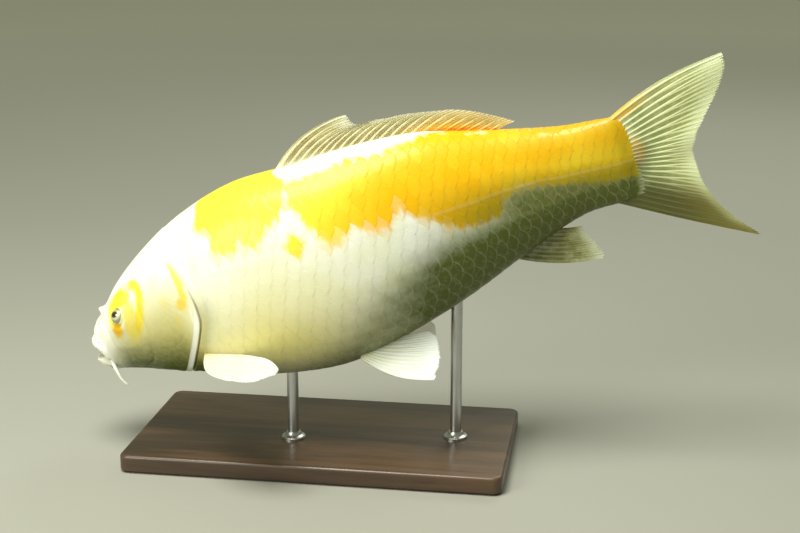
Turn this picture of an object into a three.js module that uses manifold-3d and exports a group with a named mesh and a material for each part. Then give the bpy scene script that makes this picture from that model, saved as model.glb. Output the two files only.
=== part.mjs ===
// A life-size koi carp, swimming nose down, held over a plain display stand.
// Millimetres, +Z up. The fish is laid out straight in its own frame: +X runs from the snout to
// the tail, +Y to its right side and +Z to its back. bend() then gives it the swimming curve,
// and a turned group pitches it. The origin is the centre of the underside of the stand's base.
import * as THREE from "three";
import { mergeVertices } from "three/addons/utils/BufferGeometryUtils.js";
import Module from "manifold-3d";

const wasm = await Module();
wasm.setup();

// Driving dimensions.
const bodyLength = 510; // snout to the end of the tail stalk
const pitch = THREE.MathUtils.degToRad(19.5); // how far the nose points down
const swing = 19.5; // sideways reach of the swimming curve
const waveLength = 1.2 * bodyLength; // one whole wave of that curve
const gap = 0.3; // clear space between neighbouring pieces

// The body's stations, as shares of its length: place, height of the back and depth of the
// belly from the axis, half width, and height of the widest line.
const stations = [
  { at: 0.0, back: 0.01, belly: 0.077, side: 0.034, widest: -0.03 },
  { at: 0.04, back: 0.032, belly: 0.078, side: 0.05, widest: -0.024 },
  { at: 0.09, back: 0.075, belly: 0.088, side: 0.067, widest: -0.016 },
  { at: 0.16, back: 0.118, belly: 0.108, side: 0.084, widest: -0.01 },
  { at: 0.24, back: 0.154, belly: 0.136, side: 0.1, widest: -0.006 },
  { at: 0.34, back: 0.177, belly: 0.164, side: 0.113, widest: -0.006 },
  { at: 0.44, back: 0.174, belly: 0.177, side: 0.116, widest: -0.012 },
  { at: 0.55, back: 0.171, belly: 0.161, side: 0.106, widest: -0.01 },
  { at: 0.66, back: 0.156, belly: 0.135, side: 0.085, widest: -0.002 },
  { at: 0.77, back: 0.121, belly: 0.099, side: 0.06, widest: 0.004 },
  { at: 0.88, back: 0.09, belly: 0.067, side: 0.038, widest: 0.008 },
  { at: 0.96, back: 0.079, belly: 0.067, side: 0.022, widest: 0.006 },
  { at: 1.0, back: 0.074, belly: 0.066, side: 0.009, widest: 0.004 },
];
const noseFrom = 0.006; // the snout's skin starts here, and the lips reach ahead of it
const noseShare = 0.026; // the snout rounds off over this share of the length
const noseBluntness = 2.5;
const sectionFullness = 2.25; // 2 is an ellipse

const ringSides = 28;
const ringSteps = 32;

const vec = (x, y, z) => new THREE.Vector3(x, y, z);
const turn = THREE.MathUtils.degToRad;

const finish = (color, roughness, metalness = 0) =>
  new THREE.MeshStandardMaterial({ color, roughness, metalness });
const whiteSkin = finish(0xf3efdc, 0.35, 0.1);
const goldSkin = finish(0xf2b51a, 0.35, 0.1);
const finMembrane = finish(0xe9e6cd, 0.45);
const eyeGloss = finish(0x16140f, 0.08);
const darkWood = finish(0x3a2a1e, 0.5);
const steel = finish(0xb8babc, 0.3, 1);

// A smooth curve through values placed at known shares, read at share t.
function throughPoints(places, values, t) {
  const last = places.length - 1;
  let i = 0;
  while (i < last - 1 && places[i + 1] <= t) i += 1;
  const slope = (k) => {
    const before = Math.max(k - 1, 0);
    const after = Math.min(k + 1, last);
    return (values[after] - values[before]) / (places[after] - places[before]);
  };
  const span = places[i + 1] - places[i];
  const q = THREE.MathUtils.clamp((t - places[i]) / span, 0, 1);
  const rise = q * q * (3 - 2 * q);
  return (
    (1 - rise) * values[i] +
    rise * values[i + 1] +
    (q ** 3 - 2 * q * q + q) * span * slope(i) +
    (q ** 3 - q * q) * span * slope(i + 1)
  );
}

// The same, for values spaced evenly from 0 to 1.
const throughEven = (values, t) =>
  throughPoints(values.map((_, k) => k / (values.length - 1)), values, t);

const stationPlaces = stations.map((s) => s.at);
const along = (key, t) => throughPoints(stationPlaces, stations.map((s) => s[key]), t) * bodyLength;

// Takes a point of the straight fish onto the swimming curve.
function bend(x, side, up) {
  const phase = (2 * Math.PI * x) / waveLength;
  const lean = Math.atan((-swing * 2 * Math.PI * Math.cos(phase)) / waveLength);
  return vec(x - side * Math.sin(lean), -swing * Math.sin(phase) + side * Math.cos(lean), up);
}

// A point of the straight fish's skin, t along the body. Angle 0 is the right side, 90 degrees
// the back, 180 the left side and 270 the belly. grow moves the skin out, or in where negative.
function skinPoint(t, angle, grow = 0) {
  const toNose = Math.max(1 - (t - noseFrom) / noseShare, 0);
  const nose = (1 - toNose ** noseBluntness) ** (1 / noseBluntness);
  const widest = along("widest", t);
  const up = (along("back", t) - widest) * nose + grow;
  const down = (along("belly", t) + widest) * nose + grow;
  const side = along("side", t) * nose + grow;
  const round = (v) => Math.sign(v) * Math.abs(v) ** (2 / sectionFullness);
  const rise = round(Math.sin(angle));
  return vec(t * bodyLength, side * round(Math.cos(angle)), widest + rise * (rise > 0 ? up : down));
}

const bent = (p) => bend(p.x, p.y, p.z);

// A closed skin over rings of points, with a fan of faces over each end.
function closedLoft(rings) {
  const sides = rings[0].length;
  const middle = (ring) => ring.reduce((sum, p) => sum.add(p), vec(0, 0, 0)).divideScalar(sides);
  const points = [...rings.flat(), middle(rings[0]), middle(rings.at(-1))];
  const faces = [];
  for (let r = 0; r + 1 < rings.length; r += 1) {
    for (let k = 0; k < sides; k += 1) {
      const a = r * sides + k;
      const b = r * sides + ((k + 1) % sides);
      faces.push(a, b, b + sides, a, b + sides, a + sides);
    }
  }
  const end = (rings.length - 1) * sides;
  for (let k = 0; k < sides; k += 1) {
    const next = (k + 1) % sides;
    faces.push(next, k, points.length - 2);
    faces.push(end + k, end + next, points.length - 1);
  }
  return new THREE.BufferGeometry().setFromPoints(points).setIndex(faces);
}

// A closed mesh as a solid for cutting and joining. Faces that point inwards are turned round.
function solid(geometry) {
  const plain = new THREE.BufferGeometry().setAttribute("position", geometry.attributes.position);
  const merged = mergeVertices(plain.setIndex(geometry.index), 1e-4);
  const vertProperties = new Float32Array(merged.attributes.position.array);
  const faces = [...merged.index.array];
  const made = new wasm.Manifold(
    new wasm.Mesh({ numProp: 3, vertProperties, triVerts: new Uint32Array(faces) }),
  );
  if (made.volume() > 0) return made;
  const turned = faces.map((_, i) => faces[i - (i % 3) + [0, 2, 1][i % 3]]);
  return new wasm.Manifold(
    new wasm.Mesh({ numProp: 3, vertProperties, triVerts: new Uint32Array(turned) }),
  );
}

// A solid as a named mesh.
function piece(name, shape, material) {
  const { numProp, vertProperties, triVerts } = shape.getMesh();
  const geometry = new THREE.BufferGeometry();
  geometry.setAttribute("position", new THREE.BufferAttribute(vertProperties, numProp));
  geometry.setIndex(new THREE.BufferAttribute(triVerts, 1));
  geometry.computeVertexNormals();
  const mesh = new THREE.Mesh(geometry, material);
  mesh.name = name;
  return mesh;
}

// The whole body in one solid, grown or shrunk all over.
function bodySolid(grow = 0) {
  const rings = [];
  for (let r = 0; r <= ringSteps; r += 1) {
    const share = r / ringSteps;
    const t = noseFrom + 0.0005 + (0.9995 - noseFrom) * share ** 1.5; // closer at the snout
    const ring = [];
    for (let k = 0; k < ringSides; k += 1) {
      ring.push(bent(skinPoint(t, (2 * Math.PI * k) / ringSides, grow)));
    }
    rings.push(ring);
  }
  return solid(closedLoft(rings));
}

// A side-view outline in X and Z, drawn right through the fish from side to side.
function sideCutter(shape, fromY = -130, toY = 130) {
  const made = new THREE.ExtrudeGeometry(shape, {
    depth: toY - fromY,
    bevelEnabled: false,
    curveSegments: 8,
  });
  made.rotateX(Math.PI / 2);
  made.translate(0, toY, 0);
  return solid(made);
}

// Everything between two planes across the fish.
function slice(fromX, toX) {
  return solid(new THREE.BoxGeometry(toX - fromX, 400, 400).translate((fromX + toX) / 2, 0, 0));
}

// A round tapering tube along a curve.
function taperedTube(curve, radiusAt, sides = 10, steps = 10) {
  const frames = curve.computeFrenetFrames(steps, false);
  const rings = [];
  for (let r = 0; r <= steps; r += 1) {
    const centre = curve.getPointAt(r / steps);
    const ring = [];
    for (let k = 0; k < sides; k += 1) {
      const a = (2 * Math.PI * k) / sides;
      const out = frames.normals[r].clone().multiplyScalar(Math.cos(a));
      out.addScaledVector(frames.binormals[r], Math.sin(a));
      ring.push(centre.clone().addScaledVector(out, radiusAt(r / steps)));
    }
    rings.push(ring);
  }
  return solid(closedLoft(rings));
}

// A thin closed fan. midPoint(u, v) is a point of its middle surface, u from the first ray to
// the last and v from the root to the edge. thickAt(u, v) is the full thickness there.
function fan(midPoint, thickAt, rays, steps) {
  const faceOf = (u, v, way) => {
    const e = 0.01;
    const across = midPoint(Math.min(u + e, 1), v).sub(midPoint(Math.max(u - e, 0), v));
    const out = midPoint(u, Math.min(v + e, 1)).sub(midPoint(u, Math.max(v - e, 0)));
    const normal = across.cross(out).normalize();
    return midPoint(u, v).addScaledVector(normal, (way * thickAt(u, v)) / 2);
  };
  // Each ring runs out along one face of a ray and back along the other.
  const rings = [];
  for (let r = 0; r < rays; r += 1) {
    const u = r / (rays - 1);
    const ring = [];
    for (let s = 0; s <= steps; s += 1) ring.push(faceOf(u, s / steps, 1));
    for (let s = steps; s >= 0; s -= 1) ring.push(faceOf(u, s / steps, -1));
    rings.push(ring);
  }
  return closedStrip(rings);
}

// A closed skin over flat folded rings, with each end closed by a strip between its two faces.
function closedStrip(rings) {
  const count = rings[0].length;
  const faces = [];
  for (let r = 0; r + 1 < rings.length; r += 1) {
    for (let k = 0; k < count; k += 1) {
      const a = r * count + k;
      const b = r * count + ((k + 1) % count);
      faces.push(a, b + count, b, a, a + count, b + count);
    }
  }
  const end = (rings.length - 1) * count;
  for (let k = 0; k < count / 2 - 1; k += 1) {
    const back = count - 1 - k;
    faces.push(k, k + 1, back - 1, k, back - 1, back);
    faces.push(end + k, end + back - 1, end + k + 1, end + k, end + back, end + back - 1);
  }
  return solid(new THREE.BufferGeometry().setFromPoints(rings.flat()).setIndex(faces));
}

// ---- Body: head, gill covers, trunk and tail stalk ----

const body = bodySolid();

// The gill covers lie over the body from high on the cheek down to the throat. Both edges are
// given as shares of the body's length, read from the top of the cover to its bottom.
const cover = {
  top: turn(140),
  low: turn(262),
  front: [0.182, 0.164, 0.155, 0.148, 0.135, 0.122],
  rear: [0.214, 0.241, 0.238, 0.209, 0.182, 0.16],
  proud: 1.2, // stands out over the skin by this
  thick: 5,
};

// A patch of the left or right side between the cover's edges, from depth to height over skin.
function coverPatch(mirror, grow, depth, height) {
  const rings = [];
  const steps = 6;
  const turnGrow = grow / 40;
  for (let r = 0; r <= 12; r += 1) {
    const share = r / 12;
    const angle = cover.top - turnGrow + (cover.low - cover.top + 2 * turnGrow) * share;
    const front = throughEven(cover.front, share) - grow / bodyLength;
    const rear = throughEven(cover.rear, share) + grow / bodyLength;
    const ring = [];
    for (let k = 0; k < 2 * (steps + 1); k += 1) {
      const outer = k <= steps;
      const t = front + ((rear - front) * (outer ? k : 2 * steps + 1 - k)) / steps;
      const p = skinPoint(t, angle, outer ? height : -depth);
      ring.push(bend(p.x, p.y * mirror, p.z));
    }
    rings.push(ring);
  }
  return closedStrip(rings);
}

const coverDepth = cover.thick - cover.proud; // how deep they sit under the skin
const coverSpace = (mirror) => coverPatch(mirror, gap, coverDepth + gap, cover.proud + 3);
const coverRoom = coverSpace(1).add(coverSpace(-1));

// The gill opening parts the head from the trunk, under the covers. Its line bows back.
const neck = { at: 0.222 * bodyLength, bow: 24, topBack: -14, lowBack: -30 };
const clearOf = 140; // side-view outlines reach this far from the axis

function neckOutline(grow) {
  const shape = new THREE.Shape();
  const x = neck.at + grow;
  shape.moveTo(-clearOf, clearOf);
  shape.lineTo(-clearOf, -clearOf);
  shape.lineTo(x + neck.lowBack, -clearOf);
  shape.quadraticCurveTo(x + neck.bow, 0, x + neck.topBack, clearOf);
  shape.closePath();
  return shape;
}

// The lower jaw parts from the head along the mouth and then back under the cheek.
const jawLine = [[-clearOf, -12], [4, -12], [16, -25], [20, -33], [52, -40], [58, -clearOf]];

function jawOutline(grow) {
  const shape = new THREE.Shape();
  shape.moveTo(-clearOf, -clearOf);
  for (const [x, up] of jawLine) shape.lineTo(x + grow, up + grow);
  shape.closePath();
  return shape;
}

// Eyes: part of each ball shows in a round socket.
const eyeRadius = 8;
const eyePlace = { t: 0.0975, angle: turn(180 - 23), inset: 4.4 };

function eyeCentre(mirror) {
  const p = skinPoint(eyePlace.t, eyePlace.angle, -eyePlace.inset);
  return bend(p.x, p.y * mirror, p.z);
}

function eyeBall(mirror, grow) {
  const c = eyeCentre(mirror);
  return solid(new THREE.SphereGeometry(eyeRadius + grow, 14, 8).translate(c.x, c.y, c.z));
}

const sockets = eyeBall(1, gap).add(eyeBall(-1, gap));
const headWhole = body.intersect(sideCutter(neckOutline(0))).subtract(coverRoom).subtract(sockets);
const head = headWhole.subtract(sideCutter(jawOutline(gap)));
const lowerJaw = headWhole.intersect(sideCutter(jawOutline(0)));

const trunkWhole = body.subtract(sideCutter(neckOutline(gap))).subtract(coverRoom);
const trunkCuts = [0.2, 0.43, 0.68, 0.88, 1.1];
const trunkNames = ["trunk_front", "trunk_middle", "trunk_rear", "tail_stalk"];
const trunkPieces = trunkNames.map((name, k) => {
  const cut = slice(trunkCuts[k] * bodyLength + (k ? gap : -60), trunkCuts[k + 1] * bodyLength);
  return piece(name, trunkWhole.intersect(cut), k > 1 ? goldSkin : whiteSkin);
});

// ---- Mouth: lips and barbels ----

const grownBody = bodySolid(gap);
// Each lip's middle, middle of the front first: share of the length, and degrees round the skin.
const lips = {
  upper: { route: [[0.0074, 90], [0.0125, 160], [0.0305, 180], [0.037, 208]], radius: 5 },
  lower: { route: [[0.0068, 270], [0.0135, 200], [0.0215, 206.5], [0.034, 216.5]], radius: 5.4 },
};
const lipSetBack = 2; // the lips lie this far into the snout

// A lip runs over the skin from one corner of the mouth round its front to the other corner.
function lipSolid({ route, radius }, grow = 0) {
  const half = route.map(([t, degrees]) => skinPoint(t, turn(degrees)).add(vec(lipSetBack, 0, 0)));
  const points = half.slice(1).reverse().map((p) => bend(p.x, -p.y, p.z));
  points.push(bend(half[0].x, 0, half[0].z), ...half.slice(1).map(bent));
  const thickAt = (v) => radius * (0.36 + 0.64 * Math.sin(Math.PI * v) ** 0.8) + grow;
  return taperedTube(new THREE.CatmullRomCurve3(points), thickAt, 8, 14);
}

const upperLip = lipSolid(lips.upper).subtract(grownBody);
const lipRoom = lipSolid(lips.upper, gap).add(lipSolid(lips.lower, gap));
const lowerLip = lipSolid(lips.lower).subtract(grownBody).subtract(lipSolid(lips.upper, gap));

// Two pairs of barbels: short ones beside the upper lip and long ones at the corners of the mouth.
// Each is a place on the skin and a route from there, given for the left side.
const barbels = [
  {
    name: "barbel_corner",
    from: skinPoint(0.039, turn(211), -2),
    route: [[0, 0, 0], [3.4, -3.8, -8.9], [6.2, -5.6, -17.4], [10.4, -6.2, -24.2]],
    root: 2.1,
  },
  {
    name: "barbel_upper",
    from: skinPoint(0.033, turn(165), -1.5),
    route: [[0, 0, 0], [-0.8, -3.6, -2.4], [0.2, -5.4, -5.8], [2.2, -6, -9.4]],
    root: 1.5,
  },
];

function barbelSolid({ from, route, root }, mirror) {
  const points = route.map(([x, y, z]) => bend(from.x + x, (from.y + y) * mirror, from.z + z));
  return taperedTube(new THREE.CatmullRomCurve3(points), (v) => root * (1 - 0.66 * v), 7, 7);
}

// A low skin flap rises in front of each nostril.
function nostrilFlap(mirror) {
  const p = skinPoint(0.052, turn(180 - 63), 0.6);
  const c = bend(p.x, p.y * mirror, p.z);
  const flap = new THREE.SphereGeometry(1, 10, 8).scale(4.2, 4.4, 3.8).translate(c.x, c.y, c.z);
  return solid(flap).subtract(grownBody);
}

// ---- Fins ----

// Dorsal fin: long, half folded, its rays swept back along the ridge.
const dorsal = {
  from: 0.425, // of the body's length
  to: 0.775,
  lengths: [71, 52, 43, 38, 35, 37, 30, 20],
  lifts: [51, 42, 43, 44, 43, 41, 39, 33],
  curls: [27, 7], // how far a ray bends back over its length, at the first and last ray
};

const finRoot = 5; // a middle ray starts this far inside the body, ahead of its base

function dorsalPoint(u, v) {
  const t = dorsal.from + (dorsal.to - dorsal.from) * u;
  const step = 0.01;
  const here = along("back", t);
  const fall = Math.atan((along("back", t + step) - here) / (step * bodyLength));
  const lift = turn(throughEven(dorsal.lifts, u) - throughEven(dorsal.curls, u) * v) + fall;
  const reach = (throughEven(dorsal.lengths, u) + 1.6 * finRoot) * v;
  const x = t * bodyLength - finRoot + reach * Math.cos(lift);
  return bend(x, 0, here - finRoot + reach * Math.sin(lift));
}

// Anal fin: short base, long front ray, swept back. Its rays leave steeply and flatten out.
const anal = {
  from: 0.745,
  to: 0.825,
  lengths: [72, 66, 55, 42, 29, 20],
  droops: [20, 19, 18, 17, 16, 16],
  curl: 15,
};

function analPoint(u, v) {
  const t = anal.from + (anal.to - anal.from) * u;
  const droop = turn(throughEven(anal.droops, u) + anal.curl * (1 - v));
  const reach = (throughEven(anal.lengths, u) + 1.8 * finRoot) * v;
  const x = t * bodyLength - finRoot + reach * Math.cos(droop);
  return bend(x, 0, finRoot + 2 - along("belly", t) - reach * Math.sin(droop));
}

// Tail fin: two lobes. Roots run down the end of the stalk and tips along the forked edge. The
// outer rays bow a little upwards in the upper lobe and downwards in the lower one.
const tailEdge = {
  upper: [[84, 64], [86, 52], [70, 31], [50, 8], [40, -7]],
  lower: [[40, -7], [40, -22], [44, -44], [54, -66], [75, -92]],
};
const tailRootHeight = 0.062 * bodyLength;

function tailPoint(lobe) {
  const upper = lobe === "upper";
  return (u, v) => {
    const across = upper ? 1 - u : -u; // from 1 at the top ray to -1 at the bottom ray
    const rootX = (0.985 - 0.05 * across * across) * bodyLength;
    const rootUp = tailRootHeight * across;
    const tipX = bodyLength + throughEven(tailEdge[lobe].map((p) => p[0]), u);
    const tipUp = throughEven(tailEdge[lobe].map((p) => p[1]), u);
    const bow = (upper ? 7 : -2) * Math.abs(across) ** 3 * Math.sin(Math.PI * v);
    const split = upper ? gap / 2 : -gap / 2;
    return bend(
      rootX + (tipX - rootX) * v,
      0,
      rootUp + (tipUp - rootUp) * v + bow + split,
    );
  };
}

// Paired fins: rays spread from a short fleshy root. along points down the middle of the blade
// and across from the inner edge to the outer one; both are for the left fin.
const pairedFins = {
  pectoral_fin: {
    root: { t: 0.239, angle: 213, inset: 5 },
    along: vec(60, -66, -22),
    across: vec(-53, -65, 6),
    rootWidth: 12,
    spread: [14, -19],
    lengths: [58, 72, 79, 76, 63, 43],
    bow: 7,
    thick: [5, 1.1],
  },
  pelvic_fin: {
    root: { t: 0.462, angle: 249, inset: 5 },
    along: vec(61, -16, -26),
    across: vec(10, -27, -35),
    rootWidth: 16,
    spread: [10, -18],
    lengths: [59, 61, 61, 60, 57, 50],
    bow: 6,
    thick: [5, 1.1],
  },
};

function pairedPoint(fin, mirror) {
  const middle = fin.along.clone().normalize();
  const across = fin.across.clone().addScaledVector(middle, -fin.across.dot(middle)).normalize();
  const centre = skinPoint(fin.root.t, turn(fin.root.angle), -fin.root.inset);
  return (u, v) => {
    const angle = turn(fin.spread[0] + (fin.spread[1] - fin.spread[0]) * u);
    const reach = (throughEven(fin.lengths, u) + fin.root.inset) * v;
    const p = centre.clone().addScaledVector(across, fin.rootWidth * (0.5 - u));
    p.addScaledVector(middle, reach * Math.cos(angle));
    p.addScaledVector(across, reach * Math.sin(angle) + fin.bow * (1 - u) * Math.sin(Math.PI * v));
    return bend(p.x, p.y * mirror, p.z);
  };
}

const taper = (root, edge) => (u, v) => edge + (root - edge) * (1 - v) ** 2;
const outside = (shape) => shape.subtract(grownBody).subtract(coverRoom);

const fish = new THREE.Group();
fish.add(piece("head", head, whiteSkin));
fish.add(piece("lower_jaw", lowerJaw, whiteSkin));
fish.add(...trunkPieces);
fish.add(piece("upper_lip", upperLip, whiteSkin));
fish.add(piece("lower_lip", lowerLip, whiteSkin));
fish.add(piece("dorsal_fin", outside(fan(dorsalPoint, taper(5, 1.2), 16, 4)), finMembrane));
fish.add(piece("anal_fin", outside(fan(analPoint, taper(5, 1.2), 8, 5)), finMembrane));
for (const lobe of ["upper", "lower"]) {
  const shape = fan(tailPoint(lobe), taper(7.5, 1.2), 10, 6);
  fish.add(piece(`tail_fin_${lobe}`, outside(shape), finMembrane));
}

for (const [side, mirror] of [["left", 1], ["right", -1]]) {
  const plate = coverPatch(mirror, 0, coverDepth, cover.proud);
  fish.add(piece(`gill_cover_${side}`, plate, whiteSkin));
  fish.add(piece(`eye_${side}`, eyeBall(mirror, 0), eyeGloss));
  fish.add(piece(`nostril_${side}`, nostrilFlap(mirror), whiteSkin));
  for (const barbel of barbels) {
    const shape = barbelSolid(barbel, mirror).subtract(grownBody).subtract(lipRoom);
    fish.add(piece(`${barbel.name}_${side}`, shape, whiteSkin));
  }
  for (const [name, fin] of Object.entries(pairedFins)) {
    const shape = fan(pairedPoint(fin, mirror), taper(...fin.thick), 8, 6);
    fish.add(piece(`${name}_${side}`, outside(shape), finMembrane));
  }
}

// ---- Stand ----

const base = { length: 330, width: 170, thick: 16, bevel: 2 };
const fishHeight = 100; // snout above the floor
const baseUnder = 0.44 * bodyLength; // the base is centred under this place of the fish
const rodRadius = 5;
const rodPlaces = { front: 0.33, rear: 0.63 };

fish.rotation.y = -pitch;
fish.position.set(-baseUnder * Math.cos(pitch), 0, fishHeight);
fish.updateMatrixWorld(true);

function baseMesh() {
  const { length, width, thick, bevel } = base;
  const outline = new THREE.Shape();
  outline.moveTo(-length / 2 + bevel, -width / 2 + bevel);
  outline.lineTo(length / 2 - bevel, -width / 2 + bevel);
  outline.lineTo(length / 2 - bevel, width / 2 - bevel);
  outline.lineTo(-length / 2 + bevel, width / 2 - bevel);
  outline.closePath();
  const made = new THREE.ExtrudeGeometry(outline, {
    depth: thick - 2 * bevel,
    bevelSize: bevel,
    bevelThickness: bevel,
    bevelSegments: 1,
  });
  const mesh = new THREE.Mesh(made.translate(0, 0, bevel), darkWood);
  mesh.name = "stand_base";
  return mesh;
}

// Each rod stands on the base and is cut to the belly that it carries.
function rodMesh(name, t) {
  const top = bend(t * bodyLength, 0, -along("belly", t)).applyMatrix4(fish.matrixWorld);
  const length = top.z - base.thick + 25;
  const rod = new THREE.CylinderGeometry(rodRadius, rodRadius, length, 24).rotateX(Math.PI / 2);
  rod.translate(top.x, top.y, base.thick + length / 2);
  const belly = grownBody.transform([...fish.matrixWorld.elements]);
  return piece(name, solid(rod).subtract(belly), steel);
}

const koi = new THREE.Group();
koi.add(fish);
koi.add(baseMesh());
for (const [place, t] of Object.entries(rodPlaces)) koi.add(rodMesh(`stand_rod_${place}`, t));

export default koi;
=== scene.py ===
import math
import bpy
import numpy as np
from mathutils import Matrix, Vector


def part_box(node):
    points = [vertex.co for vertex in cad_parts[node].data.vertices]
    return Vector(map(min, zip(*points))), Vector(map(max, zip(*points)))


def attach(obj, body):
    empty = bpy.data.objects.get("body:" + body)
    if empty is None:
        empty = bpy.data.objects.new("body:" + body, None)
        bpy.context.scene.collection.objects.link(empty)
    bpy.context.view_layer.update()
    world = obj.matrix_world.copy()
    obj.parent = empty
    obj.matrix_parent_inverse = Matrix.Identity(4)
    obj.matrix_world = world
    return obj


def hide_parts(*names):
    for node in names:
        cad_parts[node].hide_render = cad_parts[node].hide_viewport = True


# A life-size koi carp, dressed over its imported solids. Metres, Z up, the head towards -X and
# the fish's left side towards -Y, as in the frame.

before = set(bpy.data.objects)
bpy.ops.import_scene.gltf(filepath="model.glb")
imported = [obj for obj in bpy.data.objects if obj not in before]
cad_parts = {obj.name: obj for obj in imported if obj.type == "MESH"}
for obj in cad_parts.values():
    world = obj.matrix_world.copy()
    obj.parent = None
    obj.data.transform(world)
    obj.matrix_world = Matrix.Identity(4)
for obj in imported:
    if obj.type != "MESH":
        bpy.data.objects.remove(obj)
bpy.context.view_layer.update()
mm = 0.001
fullTurn = 2 * math.pi


def ramp(low, high, value):
    # 0 before low and 1 past high, with a smooth rise between them
    q = np.clip((value - low) / (high - low), 0, 1)
    return q * q * (3 - 2 * q)


def bump(distance, width):
    return np.exp(-((distance / width) ** 2))


def smoothMax(first, second, softness):
    return 0.5 * (first + second + np.sqrt((first - second) ** 2 + softness**2))


def throughPoints(places, values, at):
    # a smooth curve through values at known places
    places, values = np.asarray(places, float), np.asarray(values, float)
    number = np.arange(len(places))
    before, after = np.maximum(number - 1, 0), np.minimum(number + 1, len(places) - 1)
    slopes = (values[after] - values[before]) / (places[after] - places[before])
    k = np.clip(np.searchsorted(places, at, side="right") - 1, 0, len(places) - 2)
    span = places[k + 1] - places[k]
    q = np.clip((at - places[k]) / span, 0, 1)
    rise = q * q * (3 - 2 * q)
    lean = (q**3 - 2 * q * q + q) * slopes[k] + (q**3 - q * q) * slopes[k + 1]
    return (1 - rise) * values[k] + rise * values[k + 1] + span * lean


def throughEven(values, at):
    return throughPoints(np.linspace(0, 1, len(values)), values, at)


def throughEach(points, at):
    # a smooth line through points, 0 at the first and 1 at the last
    return np.stack([throughEven(column, at) for column in zip(*points)], -1)


def straightThrough(pairs, at):
    return np.interp(at, *zip(*pairs))


def unit(directions):
    return directions / np.maximum(np.linalg.norm(directions, axis=-1, keepdims=True), 1e-12)


def spaced(values, density, count):
    # values picked at even steps of the running sum of a density
    total = np.concatenate([[0], np.cumsum(density)])
    return np.interp(np.linspace(0, total[-1], count), total, values)


# The same stations as the solids have: place, back, belly, half width and widest line, all as
# shares of the length.
body = {
    "length": 0.510,
    "pitch": math.radians(19.5),
    "swing": 0.0195,
    "wave": 0.612,
    "noseFrom": 0.006,
    "noseShare": 0.026,
    "noseBluntness": 2.5,
    "fullness": 2.25,
    "overFloor": 0.100,
    "standUnder": 0.44,
    "at": [0, 0.04, 0.09, 0.16, 0.24, 0.34, 0.44, 0.55, 0.66, 0.77, 0.88, 0.96, 1],
    "back": [0.01, 0.032, 0.075, 0.118, 0.154, 0.177, 0.174, 0.171, 0.156, 0.121, 0.09, 0.079, 0.074],
    "belly": [0.077, 0.078, 0.088, 0.108, 0.136, 0.164, 0.177, 0.161, 0.135, 0.099, 0.067, 0.067, 0.066],
    "side": [0.034, 0.05, 0.067, 0.084, 0.1, 0.113, 0.116, 0.106, 0.085, 0.06, 0.038, 0.022, 0.009],
    "widest": [
        -0.03, -0.024, -0.016, -0.01, -0.006, -0.006, -0.012, -0.01, -0.002, 0.004, 0.008, 0.006, 0.004,
    ],
    "coatDepth": 0.9 * mm,
}


def along(key, t):
    return throughPoints(body["at"], body[key], t) * body["length"]


def vectors(x, side, up):
    return np.stack(np.broadcast_arrays(x, side, up), -1).astype(float)


def flesh(t, angle, grow=0.0):
    # a point of the straight fish's skin: angle 90 is the back, 180 the left side, 270 the belly
    toNose = np.clip(1 - (t - body["noseFrom"]) / body["noseShare"], 0, 1)
    nose = (1 - toNose ** body["noseBluntness"]) ** (1 / body["noseBluntness"])
    widest = along("widest", t)
    up = (along("back", t) - widest) * nose + grow
    down = (along("belly", t) + widest) * nose + grow
    side = along("side", t) * nose + grow
    high, wide = np.sin(np.radians(angle)), np.cos(np.radians(angle))
    power = 2 / body["fullness"]
    rise, out = np.sign(high) * np.abs(high) ** power, np.sign(wide) * np.abs(wide) ** power
    return vectors(t * body["length"], side * out, widest + rise * np.where(rise > 0, up, down))


def inPlace(points):
    # bends the straight fish onto its swimming curve, pitches it and lifts it over the stand
    x, side, up = points[..., 0], points[..., 1], points[..., 2]
    phase = fullTurn * x / body["wave"]
    lean = np.arctan(-body["swing"] * fullTurn * np.cos(phase) / body["wave"])
    bentX = x - side * np.sin(lean)
    bentY = -body["swing"] * np.sin(phase) + side * np.cos(lean)
    down, level = math.sin(body["pitch"]), math.cos(body["pitch"])
    x = bentX * level - up * down - body["standUnder"] * body["length"] * level
    return vectors(x, bentY, bentX * down + up * level + body["overFloor"])


def mirrored(points):
    return points * np.array([1, -1, 1])


def onSide(points, left):
    return inPlace(points if left else mirrored(points))


def turns(count):
    return np.linspace(0, fullTurn, count, endpoint=False)


def skinLine(route, count):
    # a smooth line over the skin through (place, angle) pairs
    return flesh(*throughEach(route, np.linspace(0, 1, count)).T)


def nearestOn(points, line):
    # distance from each point to a line, and how far along the line it is, from 0 to 1
    flat = points.reshape(-1, 3)
    start, step = line[:-1], np.diff(line, axis=0)
    size = np.maximum((step**2).sum(-1), 1e-12)
    best = np.full(len(flat), np.inf)
    place = np.zeros(len(flat))
    for k in range(len(start)):
        q = np.clip(((flat - start[k]) @ step[k]) / size[k], 0, 1)
        gap = ((flat - start[k] - q[:, None] * step[k]) ** 2).sum(-1)
        nearer = gap < best
        best = np.where(nearer, gap, best)
        place = np.where(nearer, (k + q) / len(start), place)
    return np.sqrt(best).reshape(points.shape[:-1]), place.reshape(points.shape[:-1])


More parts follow.
